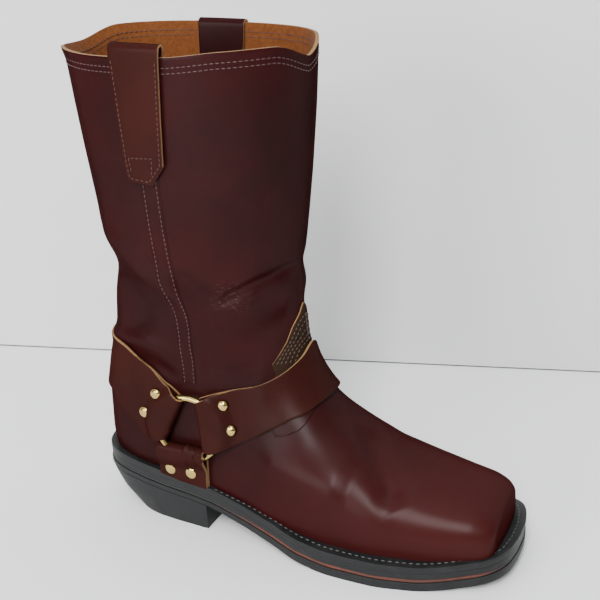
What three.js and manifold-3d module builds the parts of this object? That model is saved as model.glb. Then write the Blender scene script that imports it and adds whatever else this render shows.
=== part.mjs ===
// Harness boot, right foot, standing empty on its sole.
// Millimetres. +X runs to the toe, +Y to the medial side, +Z up.
// The origin is on the floor under the middle of the heel.
import * as THREE from "three";
import { mergeVertices } from "three/addons/utils/BufferGeometryUtils.js";
import Module from "manifold-3d";

const wasm = await Module();
wasm.setup();

// Last and sole
const SOLE_LENGTH = 309;
const SEAT_BACK = 63;
const BALL_WIDTH = 102;
const INSTEP_HEIGHT = 158;
const HEEL_HEIGHT = 20;
const HEEL_RAKE = 24;
const HEEL_TAPER = 1.6;
const HEEL_KNEE_UP = 0.45;
const HEEL_KNEE_RAKE = 0.4;
const HEEL_BREAST = 31.4;
const TOE_SPRING = 9;
const WELT_STAND = 8.5;
const OUTSOLE_THICK = 6;
const SHANK_THIN = 2.5;
const SOLE_LINE_THICK = 2;
const MIDSOLE_THICK = 4.4;
const WELT_THICK = 4.4;
const LINE_INSET = 0.6;
const MIDSOLE_INSET = 0.4;
const LASTING_MARGIN = 3;
const INSOLE_THICK = 3;
const TUCK = 12;

// Shaft
const BOOT_HEIGHT = 344;
const SHAFT_AXIS = 14.5;
const SHAFT_DEPTH = 167;
const SHAFT_WIDTH = 120;
const DIP_FADE = 60;
const WALL = 2.2;

// Harness and trim
const GAP = 0.3;
const PATCH_THICK = 1.3;
const STRIP_THICK = 1.2;
const STRAP_THICK = 2.2;
const RING_X = 0.1266 * INSTEP_HEIGHT;
const RING_Z = 0.5 * INSTEP_HEIGHT;
const RING_RADIUS = 23.5;
const RING_WIRE = 4.5;
const RIVET_DIAMETER = 8.4;
const RIVET_RISE = 2.4;
const TAB_RIVET_RISE = 1.3;
const RIVET_SHANK = 3;
const PULL_THICK = 2;
const PULL_RISE = 2.2;
const PULL_LENGTH = 86;

// Fineness of the last surface
const RINGS = 28;
const SIDES = 32;
const SOLE_STATIONS = 28;
const RING_SEGMENTS = 18;
const FOLD_SEGMENTS = 12;
const RIVET_SIDES = 8;
const REACH = 200;

const SIDE = { lateral: -1, medial: 1 };

function table(columns, rows) {
  return rows.map((row) => Object.fromEntries(columns.map((name, i) => [name, row[i]])));
}

// Sections of the foot, toe to heel. ridge and base are shares of SOLE_LENGTH from the back of the
// seat, rise is a share of INSTEP_HEIGHT, lateral, medial and lean are shares of BALL_WIDTH.
// belly is where on the way down the section is widest; crown and wall are its roundness.
const FOOT = table(
  ["ridge", "rise", "base", "lateral", "medial", "belly", "crown", "wall", "lean"],
  [
    [0.974, 0.228, 0.974, 0.235, 0.205, 0.55, 3.4, 3.4, 0.08],
    [0.971, 0.283, 0.971, 0.312, 0.275, 0.58, 3.4, 4.5, 0.08],
    [0.959, 0.31, 0.962, 0.356, 0.33, 0.62, 3.2, 6.0, 0.08],
    [0.93, 0.337, 0.937, 0.39, 0.38, 0.66, 3.0, 6.0, 0.08],
    [0.873, 0.362, 0.88, 0.432, 0.428, 0.68, 2.7, 6.0, 0.08],
    [0.796, 0.4, 0.802, 0.478, 0.464, 0.7, 2.5, 6.0, 0.08],
    [0.705, 0.46, 0.699, 0.515, 0.471, 0.72, 2.4, 6.0, 0.08],
    [0.628, 0.542, 0.589, 0.505, 0.446, 0.73, 2.3, 6.0, 0.08],
    [0.57, 0.628, 0.479, 0.463, 0.402, 0.74, 2.2, 5.0, 0.078],
    [0.534, 0.718, 0.362, 0.4, 0.368, 0.72, 2.15, 5.0, 0.07],
    [0.511, 0.814, 0.233, 0.366, 0.356, 0.68, 2.1, 5.0, 0.06],
    [0.498, 0.916, 0.097, 0.354, 0.352, 0.64, 2.1, 4.0, 0.055],
    [0.495, 1.0, 0.026, 0.358, 0.356, 0.6, 2.1, 2.6, 0.045],
  ],
);

// Sections of the shaft, instep to collar. frontUp and backUp are shares of BOOT_HEIGHT,
// front and back are shares of SHAFT_DEPTH from its axis, half and lean of SHAFT_WIDTH.
const SHAFT = table(
  ["frontUp", "backUp", "front", "back", "half", "belly", "crown", "wall", "lean"],
  [
    [0.491, 0.157, 0.446, 0.461, 0.3125, 0.56, 2.1, 2.3, 0.033],
    [0.529, 0.227, 0.446, 0.464, 0.329, 0.53, 2.1, 2.2, 0.033],
    [0.573, 0.308, 0.449, 0.434, 0.35, 0.51, 2.2, 2.2, 0.025],
    [0.628, 0.401, 0.458, 0.392, 0.383, 0.5, 2.3, 2.2, 0.017],
    [0.698, 0.512, 0.467, 0.374, 0.425, 0.5, 2.4, 2.3, 0.017],
    [0.785, 0.651, 0.479, 0.404, 0.463, 0.5, 2.5, 2.4, 0.008],
    [0.887, 0.829, 0.494, 0.458, 0.488, 0.5, 2.5, 2.4, 0.0],
    [1.0, 1.0, 0.503, 0.503, 0.5, 0.5, 2.5, 2.4, 0.0],
  ],
);

// Featherline of the upper seen from above: at is a share of SOLE_LENGTH, the half widths are shares
// of BALL_WIDTH, and stand is how much of WELT_STAND the sole reaches past it.
const FEATHERLINE = table(
  ["at", "lateral", "medial", "stand"],
  [
    [0.006, 0.05, 0.05, 0.25],
    [0.01, 0.1, 0.1, 0.25],
    [0.018, 0.167, 0.167, 0.25],
    [0.036, 0.23, 0.23, 0.25],
    [0.063, 0.284, 0.284, 0.25],
    [0.104, 0.324, 0.324, 0.25],
    [0.152, 0.348, 0.348, 0.25],
    [0.223, 0.358, 0.353, 0.35],
    [0.307, 0.358, 0.343, 0.55],
    [0.392, 0.373, 0.319, 0.75],
    [0.479, 0.417, 0.328, 0.9],
    [0.57, 0.49, 0.373, 1.0],
    [0.654, 0.52, 0.426, 1.0],
    [0.722, 0.525, 0.451, 1.0],
    [0.796, 0.49, 0.456, 1.0],
    [0.858, 0.436, 0.441, 1.0],
    [0.906, 0.373, 0.426, 1.0],
    [0.94, 0.328, 0.37, 1.0],
    [0.961, 0.275, 0.31, 1.0],
    [0.974, 0.2, 0.2, 1.0],
    [0.98, 0.08, 0.08, 1.0],
  ],
);

// Underside of the sole from the seat to the toe, as shares of HEEL_HEIGHT and TOE_SPRING.
const TREAD_LINE = table(
  ["at", "heel", "spring"],
  [
    [-0.02, 1.5, 0],
    [0.12, 1.33, 0],
    [0.184, 1.2, 0],
    [0.307, 1.0, 0],
    [0.392, 0.68, 0],
    [0.479, 0.36, 0],
    [0.567, 0.1, 0],
    [0.631, 0, 0],
    [0.813, 0, 0],
    [0.877, 0, 0.17],
    [0.942, 0, 0.5],
    [1.01, 0, 1],
  ],
);

// Dip of the collar below BOOT_HEIGHT at every twelfth of a turn, from the front over the lateral side.
const COLLAR_DIP = [10, 0.5, 2, 6.5, 7.5, 7, 9, 1.5, 0.5, 0, 0, 0.5, 10];

// Strap edges seen from the side, from the ring outwards, in shares of INSTEP_HEIGHT.
const FRONT_STRAP_TOP = [
  [0.161, 0.633], [0.187, 0.65], [0.239, 0.671], [0.32, 0.697], [0.427, 0.722],
  [0.522, 0.772], [0.573, 0.827], [0.592, 0.874], [0.633, 0.93],
];
const FRONT_STRAP_BOTTOM = [
  [0.202, 0.423], [0.253, 0.408], [0.376, 0.468], [0.498, 0.538], [0.587, 0.589],
  [0.65, 0.618], [0.705, 0.654], [0.78, 0.69],
];
const BACK_STRAP_TOP = [
  [0.112, 0.637], [0.034, 0.698], [-0.026, 0.75], [-0.073, 0.779], [-0.134, 0.811],
  [-0.193, 0.839], [-0.271, 0.846], [-0.52, 0.85],
];
const BACK_STRAP_BOTTOM = [
  [0.022, 0.442], [-0.02, 0.426], [-0.061, 0.416], [-0.131, 0.451], [-0.19, 0.48],
  [-0.258, 0.54], [-0.306, 0.582], [-0.37, 0.6], [-0.52, 0.61],
];
const TAB_EDGE = [[-0.022, 0.46], [0.209, 0.46], [0.214, 0.15], [-0.032, 0.15]];
const TAB_TOP = 0.415;

// Where each strap folds round the ring: direction of the strap from the ring's centre in turns,
// from the toe upwards, and how far the straight fold lies from the centre as a share of RING_RADIUS.
const FOLDS = {
  front: { turn: 0.032, away: 0.41 },
  back: { turn: 0.431, away: 0.46 },
  tab: { turn: 0.729, away: 0.5 },
};

// Where the front strap climbs on to the instep patch, in shares of INSTEP_HEIGHT.
const PATCH_CLIMB = [0.33, 0.48];

// Straps are double for this far from the ring, with the end feathered from this share on.
const DOUBLE = 34;
const FEATHER = 0.55;

// Outline of the instep patch seen from the side, in shares of INSTEP_HEIGHT.
const PATCH_EDGE = [
  [0.66, 1.1], [0.575, 1.055], [0.562, 1.022], [0.547, 0.972], [0.53, 0.905], [0.508, 0.856],
  [0.483, 0.81], [0.501, 0.771], [0.506, 0.6], [0.513, 0.545], [0.532, 0.517], [0.582, 0.53],
  [0.631, 0.554], [0.65, 0.575], [0.656, 0.6], [0.664, 0.64], [0.7, 0.69], [0.82, 0.72], [0.8, 0.95],
];

// Side seam strips from the harness up to the collar: height, centre and half width in shares of
// INSTEP_HEIGHT.
const SEAM_STRIP = table(
  ["up", "x", "half"],
  [
    [0.71, 0.134, 0.031],
    [1.03, 0.137, 0.032],
    [1.12, 0.127, 0.036],
    [1.18, 0.11, 0.038],
    [1.24, 0.096, 0.04],
    [1.39, 0.084, 0.042],
    [1.6, 0.076, 0.042],
    [1.9, 0.065, 0.042],
    [2.1, 0.057, 0.042],
  ],
);

// Pull straps seen from the side: x and how far below BOOT_HEIGHT, as shares of PULL_LENGTH.
const PULL_OUTSIDE = [[0.31, -0.1], [0.283, 0.85], [0.174, 1], [-0.022, 0.985], [-0.042, 0.93], [-0.1, -0.1]];
const PULL_INSIDE = [[0.3, -0.1], [0.28, 0.72], [-0.09, 0.72], [-0.1, -0.1]];

// Rivets in each strap, from the ring's centre in shares of RING_RADIUS, and whether they are the
// flat ones of the tab.
const RIVETS = table(
  ["name", "x", "z", "strap", "flat"],
  [
    ["front_upper", 1.1, 0.868, "front", false],
    ["front_lower", 1.383, 0.149, "front", false],
    ["back_upper", -0.957, 1.03, "back", false],
    ["back_lower", -1.434, 0.289, "back", false],
    ["tab_rear", -0.677, -1.485, "tab", true],
    ["tab_fore", 0.043, -1.481, "tab", true],
  ],
);

// Interpolation through a table's rows that never overshoots them.
function steady(values) {
  const last = values.length - 1;
  const rise = values.slice(1).map((v, i) => v - values[i]);
  const slope = values.map((_, i) => {
    if (i === 0) return rise[0];
    if (i === last) return rise[last - 1];
    const a = rise[i - 1];
    const b = rise[i];
    return a * b <= 0 ? 0 : (2 * a * b) / (a + b);
  });
  return (at) => {
    const i = Math.min(last - 1, Math.max(0, Math.floor(at)));
    const t = at - i;
    const h = t * t * (3 - 2 * t);
    const early = t * (1 - t) * (1 - t) * slope[i];
    const late = t * t * (t - 1) * slope[i + 1];
    return values[i] * (1 - h) + values[i + 1] * h + early + late;
  };
}

function steadyColumns(rows) {
  const columns = Object.keys(rows[0]).map((name) => [name, steady(rows.map((row) => row[name]))]);
  return (at) => Object.fromEntries(columns.map(([name, value]) => [name, value(at)]));
}

const soleX = (at) => at * SOLE_LENGTH - SEAT_BACK;

// Sole heights at a place along the boot.
const treadRow = steadyColumns(TREAD_LINE);

function treadAt(x) {
  const places = TREAD_LINE.map((row) => soleX(row.at));
  let i = places.findIndex((place) => place > x) - 1;
  if (i < 0) i = x < places[0] ? 0 : places.length - 2;
  const t = (x - places[i]) / (places[i + 1] - places[i]);
  return treadRow(i + Math.min(1, Math.max(0, t)));
}

function underside(x) {
  const row = treadAt(x);
  return row.heel * HEEL_HEIGHT + row.spring * TOE_SPRING;
}

function outsoleThickness(x) {
  return OUTSOLE_THICK - SHANK_THIN * Math.min(1, treadAt(x).heel);
}

const lineBottom = (x) => underside(x) + outsoleThickness(x) + GAP;
const midsoleBottom = (x) => lineBottom(x) + SOLE_LINE_THICK + GAP;
const weltBottom = (x) => midsoleBottom(x) + MIDSOLE_THICK + GAP;
const soleTop = (x) => weltBottom(x) + WELT_THICK;

// Sections in one common form: ridge point, base point, half widths and roundness.
const SECTIONS = [
  ...FOOT.map((row) => ({
    ridgeX: soleX(row.ridge),
    ridgeZ: row.rise * INSTEP_HEIGHT,
    baseX: soleX(row.base),
    baseZ: soleTop(soleX(row.base)) - TUCK,
    lateral: row.lateral * BALL_WIDTH,
    medial: row.medial * BALL_WIDTH,
    belly: row.belly,
    crown: row.crown,
    wall: row.wall,
    lean: row.lean * BALL_WIDTH,
  })),
  ...SHAFT.map((row) => ({
    ridgeX: SHAFT_AXIS + row.front * SHAFT_DEPTH,
    ridgeZ: row.frontUp * BOOT_HEIGHT,
    baseX: SHAFT_AXIS - row.back * SHAFT_DEPTH,
    baseZ: row.backUp * BOOT_HEIGHT,
    lateral: row.half * SHAFT_WIDTH,
    medial: row.half * SHAFT_WIDTH,
    belly: row.belly,
    crown: row.crown,
    wall: row.wall,
    lean: row.lean * SHAFT_WIDTH,
  })),
];
const COLLAR = SECTIONS.length - 1;
const sectionAt = steadyColumns(SECTIONS);

// How far the collar dips below BOOT_HEIGHT at an angle round the shaft.
const dipRow = steady(COLLAR_DIP);

function collarDip(angle) {
  const turns = angle / (2 * Math.PI);
  return dipRow((turns - Math.floor(turns)) * (COLLAR_DIP.length - 1));
}

// A point of the upper's outer surface. row runs from the toe to the collar; angle runs from the
// ridge over the lateral side and the base to the medial side.
function lastPoint(row, angle) {
  const s = sectionAt(row);
  const c = Math.cos(angle);
  const power = 2 / (c >= 0 ? s.crown : s.wall);
  const inward = Math.abs(c) ** power;
  const down = c >= 0 ? s.belly * (1 - inward) : s.belly + (1 - s.belly) * inward;
  const out = Math.abs(Math.sin(angle)) ** power;
  const half = Math.sin(angle) >= 0 ? -s.lateral : s.medial;
  const x = s.ridgeX + down * (s.baseX - s.ridgeX);
  const y = s.lean + (half - s.lean) * out;
  const z = s.ridgeZ + down * (s.baseZ - s.ridgeZ);
  const fade = Math.max(0, 1 - (BOOT_HEIGHT - z) / DIP_FADE);
  return new THREE.Vector3(x, y, z - fade * collarDip(angle));
}

function lastNormal(row, angle) {
  const step = 0.04;
  const rowA = Math.max(0, row - step);
  const rowB = Math.min(COLLAR, row + step);
  const along = lastPoint(rowB, angle).sub(lastPoint(rowA, angle));
  const round = lastPoint(row, angle + step).sub(lastPoint(row, angle - step));
  return along.cross(round).normalize();
}

// Solids for joining and cutting
function solid(geometry) {
  const bare = geometry.clone();
  bare.deleteAttribute("normal");
  bare.deleteAttribute("uv");
  const merged = mergeVertices(bare, 1e-4);
  return new wasm.Manifold(new wasm.Mesh({
    numProp: 3,
    vertProperties: new Float32Array(merged.attributes.position.array),
    triVerts: new Uint32Array(merged.index.array),
  }));
}

function geometryOf(body) {
  const mesh = body.getMesh();
  const geometry = new THREE.BufferGeometry();
  geometry.setAttribute("position", new THREE.BufferAttribute(new Float32Array(mesh.vertProperties), 3));
  geometry.setIndex(new THREE.BufferAttribute(new Uint32Array(mesh.triVerts), 1));
  geometry.computeVertexNormals();
  return geometry;
}

function closedMesh(points, faces) {
  const geometry = new THREE.BufferGeometry();
  geometry.setAttribute("position", new THREE.Float32BufferAttribute(points.flatMap((p) => p.toArray()), 3));
  geometry.setIndex(faces.flat());
  return solid(geometry);
}

// The last surface pushed out by a distance, closed at the toe and at a height above the collar.
function form(push, above = 0) {
  const distance = typeof push === "function" ? push : () => push;
  const points = [];
  const faces = [];
  const rows = Array.from({ length: RINGS + 1 }, (_, i) => (i / RINGS) * COLLAR);
  for (const row of rows) {
    for (let j = 0; j < SIDES; j++) {
      const angle = (j / SIDES) * 2 * Math.PI;
      const point = lastPoint(row, angle);
      points.push(point.addScaledVector(lastNormal(row, angle), distance(point)));
    }
  }
  if (above > 0) {
    for (const point of points.slice(-SIDES)) points.push(point.clone().setZ(point.z + above));
  }
  const ringCount = points.length / SIDES;
  for (let i = 0; i < ringCount - 1; i++) {
    for (let j = 0; j < SIDES; j++) {
      const a = i * SIDES + j;
      const b = i * SIDES + ((j + 1) % SIDES);
      faces.push([a, a + SIDES, b + SIDES], [a, b + SIDES, b]);
    }
  }
  const middle = (ring) => {
    const sum = new THREE.Vector3();
    ring.forEach((point) => sum.add(point));
    return sum.divideScalar(SIDES);
  };
  const toe = points.length;
  const top = toe + 1;
  const lastRing = (ringCount - 1) * SIDES;
  const centres = [middle(points.slice(0, SIDES)), middle(points.slice(lastRing))];
  for (let j = 0; j < SIDES; j++) {
    const next = (j + 1) % SIDES;
    faces.push([toe, j, next], [top, lastRing + next, lastRing + j]);
  }
  return closedMesh([...points, ...centres], faces);
}

// Outline of the sole at a distance outside the featherline, with the welt's stand or without it.
const featherRow = steadyColumns(FEATHERLINE);

function outline(extra, withStand) {
  const last = FEATHERLINE.length - 1;
  const middle = (u) => {
    const row = featherRow(Math.min(last, Math.max(0, u)));
    return new THREE.Vector2(soleX(row.at), ((row.lateral + row.medial) * BALL_WIDTH) / 2);
  };
  return Array.from({ length: SOLE_STATIONS + 1 }, (_, i) => {
    const u = (i / SOLE_STATIONS) * last;
    const row = featherRow(u);
    const along = middle(u + 0.2).sub(middle(u - 0.2)).normalize();
    const distance = extra + (withStand ? row.stand * WELT_STAND : 0);
    return {
      x: soleX(row.at) - along.y * distance,
      lateral: row.lateral * BALL_WIDTH + along.x * distance,
      medial: row.medial * BALL_WIDTH + along.x * distance,
    };
  });
}

// A layer of the sole between two heights that change along the boot.
function layer(stations, bottomAt, topAt) {
  const points = stations.flatMap(({ x, lateral, medial }) => [
    new THREE.Vector3(x, -lateral, topAt(x)),
    new THREE.Vector3(x, medial, topAt(x)),
    new THREE.Vector3(x, medial, bottomAt(x)),
    new THREE.Vector3(x, -lateral, bottomAt(x)),
  ]);
  return strip(points, stations.length);
}

// A closed bar from stations of a few points each, clockwise from the top right one.
function strip(points, count, corners = 4) {
  const faces = [];
  const end = (count - 1) * corners;
  for (let i = 0; i < count - 1; i++) {
    for (let k = 0; k < corners; k++) {
      const a = i * corners + k;
      const b = i * corners + ((k + 1) % corners);
      faces.push([a, a + corners, b + corners], [a, b + corners, b]);
    }
  }
  for (let k = 1; k < corners - 1; k++) {
    faces.push([0, k, k + 1], [end, end + k + 1, end + k]);
  }
  return closedMesh(points, faces);
}

// Everything inside a side-view outline of x and z, across the boot or on one side of it.
function sideBlock(points, side = 0) {
  const shape = new THREE.Shape(points.map(([x, z]) => new THREE.Vector2(x, z)));
  const depth = side === 0 ? 2 * REACH : REACH;
  const geometry = new THREE.ExtrudeGeometry(shape, { depth, bevelEnabled: false });
  geometry.rotateX(Math.PI / 2);
  geometry.translate(0, side < 0 ? 0 : REACH, 0);
  return solid(geometry);
}

const soften = (points, count) => {
  const curve = new THREE.SplineCurve(points.map(([x, z]) => new THREE.Vector2(x, z)));
  return curve.getPoints(count).map((p) => [p.x, p.y]);
};

const shell = (inner, outer, above = 0) => form(outer, above).subtract(form(inner, above));

// First place where a line across the boot meets a body from one side, and the way out there.
function meet(body, x, z, side) {
  const target = new THREE.Mesh(geometryOf(body), new THREE.MeshBasicMaterial({ side: THREE.DoubleSide }));
  target.updateMatrixWorld();
  const start = new THREE.Vector3(x, side * REACH, z);
  const hit = new THREE.Raycaster(start, new THREE.Vector3(0, -side, 0)).intersectObject(target)[0];
  return hit.point;
}

function planeNormal(a, b, c, side) {
  const normal = b.clone().sub(a).cross(c.clone().sub(a)).normalize();
  return normal.y * side < 0 ? normal.negate() : normal;
}

// Way out of the last surface at a place seen from the side.
function outAt(body, x, z, side) {
  const step = 6;
  const spots = [[x - step, z - step], [x + step, z - step], [x, z + step]];
  const [a, b, c] = spots.map(([px, pz]) => meet(body, px, pz, side));
  return planeNormal(a, b, c, side);
}

const turnTo = (from, to) => new THREE.Quaternion().setFromUnitVectors(from, to);

function finish(color, roughness, metalness = 0) {
  return new THREE.MeshStandardMaterial({ color, roughness, metalness });
}

const FINISH = {
  upper: finish(0x3a1a1a, 0.35),
  harness: finish(0x4d201c, 0.42),
  rubber: finish(0x1b1c1d, 0.7),
  line: finish(0x8a3b22, 0.6),
  insole: finish(0xa9743c, 0.85),
  brass: finish(0xc8b26a, 0.3, 1),
};

const boot = new THREE.Group();

function add(name, geometry, material) {
  const mesh = new THREE.Mesh(geometry, material);
  mesh.name = name;
  boot.add(mesh);
  return mesh;
}

// Sole
const soleEdge = outline(0, true);
const lineEdge = outline(-LINE_INSET, true);
const midsoleEdge = outline(-MIDSOLE_INSET, true);
const seatEdge = outline(-LASTING_MARGIN, false);
const insoleEdge = outline(-LASTING_MARGIN - GAP, false);

function makeOutsole() {
  return layer(soleEdge, underside, (x) => underside(x) + outsoleThickness(x));
}

function makeWelt() {
  const hole = layer(seatEdge, (x) => weltBottom(x) - TUCK, (x) => soleTop(x) + TUCK);
  return layer(soleEdge, weltBottom, soleTop).subtract(hole);
}

function makeInsole() {
  const lining = form(-WALL - GAP);
  return layer(insoleEdge, weltBottom, (x) => soleTop(x) + INSOLE_THICK).intersect(lining);
}

function makeHeel() {
  const seats = soleEdge.map((station) => ({ ...station, top: underside(station.x) - GAP }));
  const stations = seats.filter(({ x }) => x < HEEL_BREAST - 1);
  const next = seats[stations.length];
  const last = stations[stations.length - 1];
  const share = (HEEL_BREAST - last.x) / (next.x - last.x);
  const breast = Object.keys(last).map((key) => [key, THREE.MathUtils.lerp(last[key], next[key], share)]);
  stations.push(Object.fromEntries(breast));
  const seat = HEEL_BREAST - stations[0].x;
  const levelAt = ({ x, lateral, medial }, rake, taper) => {
    const place = HEEL_BREAST - ((HEEL_BREAST - x) * (seat - rake * HEEL_RAKE)) / seat;
    const inward = (half) => half - taper * HEEL_TAPER * Math.min(1, half / 20);
    return [place, -inward(lateral), inward(medial)];
  };
  const points = stations.flatMap((station) => {
    const { x, lateral, medial, top } = station;
    const [kneeX, kneeLateral, kneeMedial] = levelAt(station, HEEL_KNEE_RAKE, 0.5);
    const [footX, footLateral, footMedial] = levelAt(station, 1, 1);
    const knee = top * HEEL_KNEE_UP;
    return [
      new THREE.Vector3(x, -lateral, top),
      new THREE.Vector3(x, medial, top),
      new THREE.Vector3(kneeX, kneeMedial, knee),
      new THREE.Vector3(footX, footMedial, 0),
      new THREE.Vector3(footX, footLateral, 0),
      new THREE.Vector3(kneeX, kneeLateral, knee),
    ];
  });
  return strip(points, stations.length, 6);
}

add("outsole", geometryOf(makeOutsole()), FINISH.rubber);
add("sole_line", geometryOf(layer(lineEdge, lineBottom, (x) => lineBottom(x) + SOLE_LINE_THICK)), FINISH.line);
add("midsole", geometryOf(layer(midsoleEdge, midsoleBottom, (x) => midsoleBottom(x) + MIDSOLE_THICK)), FINISH.rubber);
add("welt", geometryOf(makeWelt()), FINISH.rubber);
add("heel", geometryOf(makeHeel()), FINISH.rubber);
add("insole", geometryOf(makeInsole()), FINISH.insole);

// Upper
const wide = outline(REACH / 2, false);
const belowLeather = layer(wide, () => -REACH, (x) => soleTop(x) + GAP);
const upperForm = form(0);

function makeUpper() {
  return upperForm.subtract(form(-WALL, TUCK)).subtract(belowLeather);
}

add("upper", geometryOf(makeUpper()), FINISH.upper);

// Instep patch, over the ridge and under the front strap
const inInstep = ([x, z]) => [x * INSTEP_HEIGHT, z * INSTEP_HEIGHT];
const patchEdge = PATCH_EDGE.map(inInstep);

function makePatch() {
  return shell(GAP, GAP + PATCH_THICK).intersect(sideBlock(patchEdge));
}

add("instep_patch", geometryOf(makePatch()), FINISH.upper);

// Side seam strips
function makeSeamStrip(side) {
  const right = SEAM_STRIP.map(({ up, x, half }) => inInstep([x + half, up]));
  const left = SEAM_STRIP.map(({ up, x, half }) => inInstep([x - half, up])).reverse();
  return shell(GAP, GAP + STRIP_THICK, TUCK).intersect(sideBlock([...right, ...left], side));
}

for (const side of Object.keys(SIDE)) {
  add(`side_seam_${side}`, geometryOf(makeSeamStrip(SIDE[side])), FINISH.upper);
}

// Rings, set on the plane through the three places where straps fold round them
const WIRE_LIFT = GAP + STRAP_THICK + GAP + RING_WIRE / 2;
const ringSpots = Object.values(FOLDS).map(({ turn }) => [
  RING_X + RING_RADIUS * Math.cos(2 * Math.PI * turn),
  RING_Z + RING_RADIUS * Math.sin(2 * Math.PI * turn),
]);

function ringPlace(side) {
  const [a, b, c] = ringSpots.map(([x, z]) => meet(upperForm, x, z, side));
  const out = planeNormal(a, b, c, side);
  const across = ((RING_X - a.x) * out.x + (RING_Z - a.z) * out.z) / -out.y;
  const centre = new THREE.Vector3(RING_X, a.y + across, RING_Z).addScaledVector(out, WIRE_LIFT);
  return { centre, out };
}

function torus(place, tube, sides, segments) {
  const geometry = new THREE.TorusGeometry(RING_RADIUS, tube, sides, segments);
  geometry.applyQuaternion(turnTo(new THREE.Vector3(0, 0, 1), place.out));
  geometry.translate(place.centre.x, place.centre.y, place.centre.z);
  return geometry;
}

const RING_PLACE = { lateral: ringPlace(SIDE.lateral), medial: ringPlace(SIDE.medial) };

for (const side of Object.keys(SIDE)) {
  add(`ring_${side}`, torus(RING_PLACE[side], RING_WIRE / 2, 7, RING_SEGMENTS), FINISH.brass);
}

const SLEEVE = RING_WIRE / 2 + GAP + STRAP_THICK;
const CHANNEL = RING_WIRE / 2 + 2 * GAP;
const channels = Object.values(RING_PLACE).map((place) => solid(torus(place, CHANNEL, 6, RING_SEGMENTS)));

// A strap's straight fold, filled out to the arc of the ring that runs through it.
function foldBody(place, { turn, away }) {
  const angle = 2 * Math.PI * turn;
  const toStrap = new THREE.Vector3(Math.cos(angle), 0, Math.sin(angle)).projectOnPlane(place.out).normalize();
  const along = toStrap.clone().cross(place.out);
  const fold = place.centre.clone().addScaledVector(toStrap, away * RING_RADIUS + SLEEVE);
  const edge = new THREE.CylinderGeometry(SLEEVE, SLEEVE, 2 * RING_RADIUS, 8);
  edge.applyQuaternion(turnTo(new THREE.Vector3(0, 1, 0), along));
  edge.translate(fold.x, fold.y, fold.z);
  const beyond = new THREE.BoxGeometry(REACH, REACH, REACH);
  beyond.applyQuaternion(turnTo(new THREE.Vector3(1, 0, 0), toStrap));
  beyond.translate(...fold.clone().addScaledVector(toStrap, REACH / 2).toArray());
  const arc = solid(torus(place, SLEEVE, 6, FOLD_SEGMENTS)).intersect(solid(beyond));
  return arc.add(solid(edge)).hull();
}

// Straps fold double round the ring: one layer near the leather, then both.
function doubled(point) {
  const away = Math.hypot(point.x - RING_X, point.z - RING_Z) - RING_RADIUS;
  const share = THREE.MathUtils.smoothstep(away, DOUBLE * FEATHER, DOUBLE);
  return STRAP_THICK * (1 - share);
}

// The front strap climbs over the instep patch.
function overPatch(point) {
  const [from, to] = PATCH_CLIMB.map((share) => share * INSTEP_HEIGHT);
  return (PATCH_THICK + GAP) * THREE.MathUtils.smoothstep(point.x, from, to);
}

function makeStrap(fold, block, lift) {
  const inner = (point) => GAP + lift(point);
  const outer = (point) => inner(point) + STRAP_THICK + doubled(point);
  const under = form(inner);
  let strap = shell(inner, outer).intersect(block);
  for (const place of Object.values(RING_PLACE)) {
    strap = strap.add(foldBody(place, fold).intersect(block).subtract(under));
  }
  channels.forEach((channel) => { strap = strap.subtract(channel); });
  return strap;
}

function strapBlock(top, bottom, count) {
  const edge = [...soften(top.map(inInstep), count), ...soften(bottom.map(inInstep), count).reverse()];
  return sideBlock(edge);
}

const flat = () => 0;
const frontStrap = makeStrap(FOLDS.front, strapBlock(FRONT_STRAP_TOP, FRONT_STRAP_BOTTOM, 9), overPatch);
const backStrap = makeStrap(FOLDS.back, strapBlock(BACK_STRAP_TOP, BACK_STRAP_BOTTOM, 9), flat);
const aboveTab = sideBlock([[-1, TAB_TOP], [1, TAB_TOP], [1, 1], [-1, 1]].map(inInstep));
const tabs = {};
for (const side of Object.keys(SIDE)) {
  const block = sideBlock(TAB_EDGE.map(inInstep), SIDE[side]).subtract(aboveTab);
  tabs[side] = makeStrap(FOLDS.tab, block, flat).subtract(belowLeather);
}

// Rivets: a domed head outside and a shank through the leather
function rivetHead(rise) {
  const radius = RIVET_DIAMETER / 2;
  const profile = [
    [0, -STRAP_THICK],
    [RIVET_SHANK / 2, -STRAP_THICK],
    [RIVET_SHANK / 2, GAP],
    [radius, GAP],
    [radius * 0.72, GAP + rise * 0.75],
    [0, GAP + rise],
  ].map(([x, y]) => new THREE.Vector2(x, y));
  return new THREE.LatheGeometry(profile, RIVET_SIDES);
}

const rivets = [];

function setRivets(strap, which, side) {
  let drilled = strap;
  for (const row of RIVETS.filter((rivet) => rivet.strap === which)) {
    const x = RING_X + row.x * RING_RADIUS;
    const z = RING_Z + row.z * RING_RADIUS;
    const out = outAt(upperForm, x, z, SIDE[side]);
    const seat = meet(strap, x, z, SIDE[side]);
    const turn = turnTo(new THREE.Vector3(0, 1, 0), out);
    const hole = new THREE.CylinderGeometry(RIVET_SHANK / 2 + GAP, RIVET_SHANK / 2 + GAP, 4 * STRAP_THICK, 8);
    hole.applyQuaternion(turn);
    hole.translate(seat.x, seat.y, seat.z);
    drilled = drilled.subtract(solid(hole));
    const lifted = seat.clone().addScaledVector(out, GAP / 2);
    rivets.push({ name: `rivet_${row.name}_${side}`, rise: row.flat ? TAB_RIVET_RISE : RIVET_RISE, seat: lifted, turn });
  }
  return drilled;
}

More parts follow.
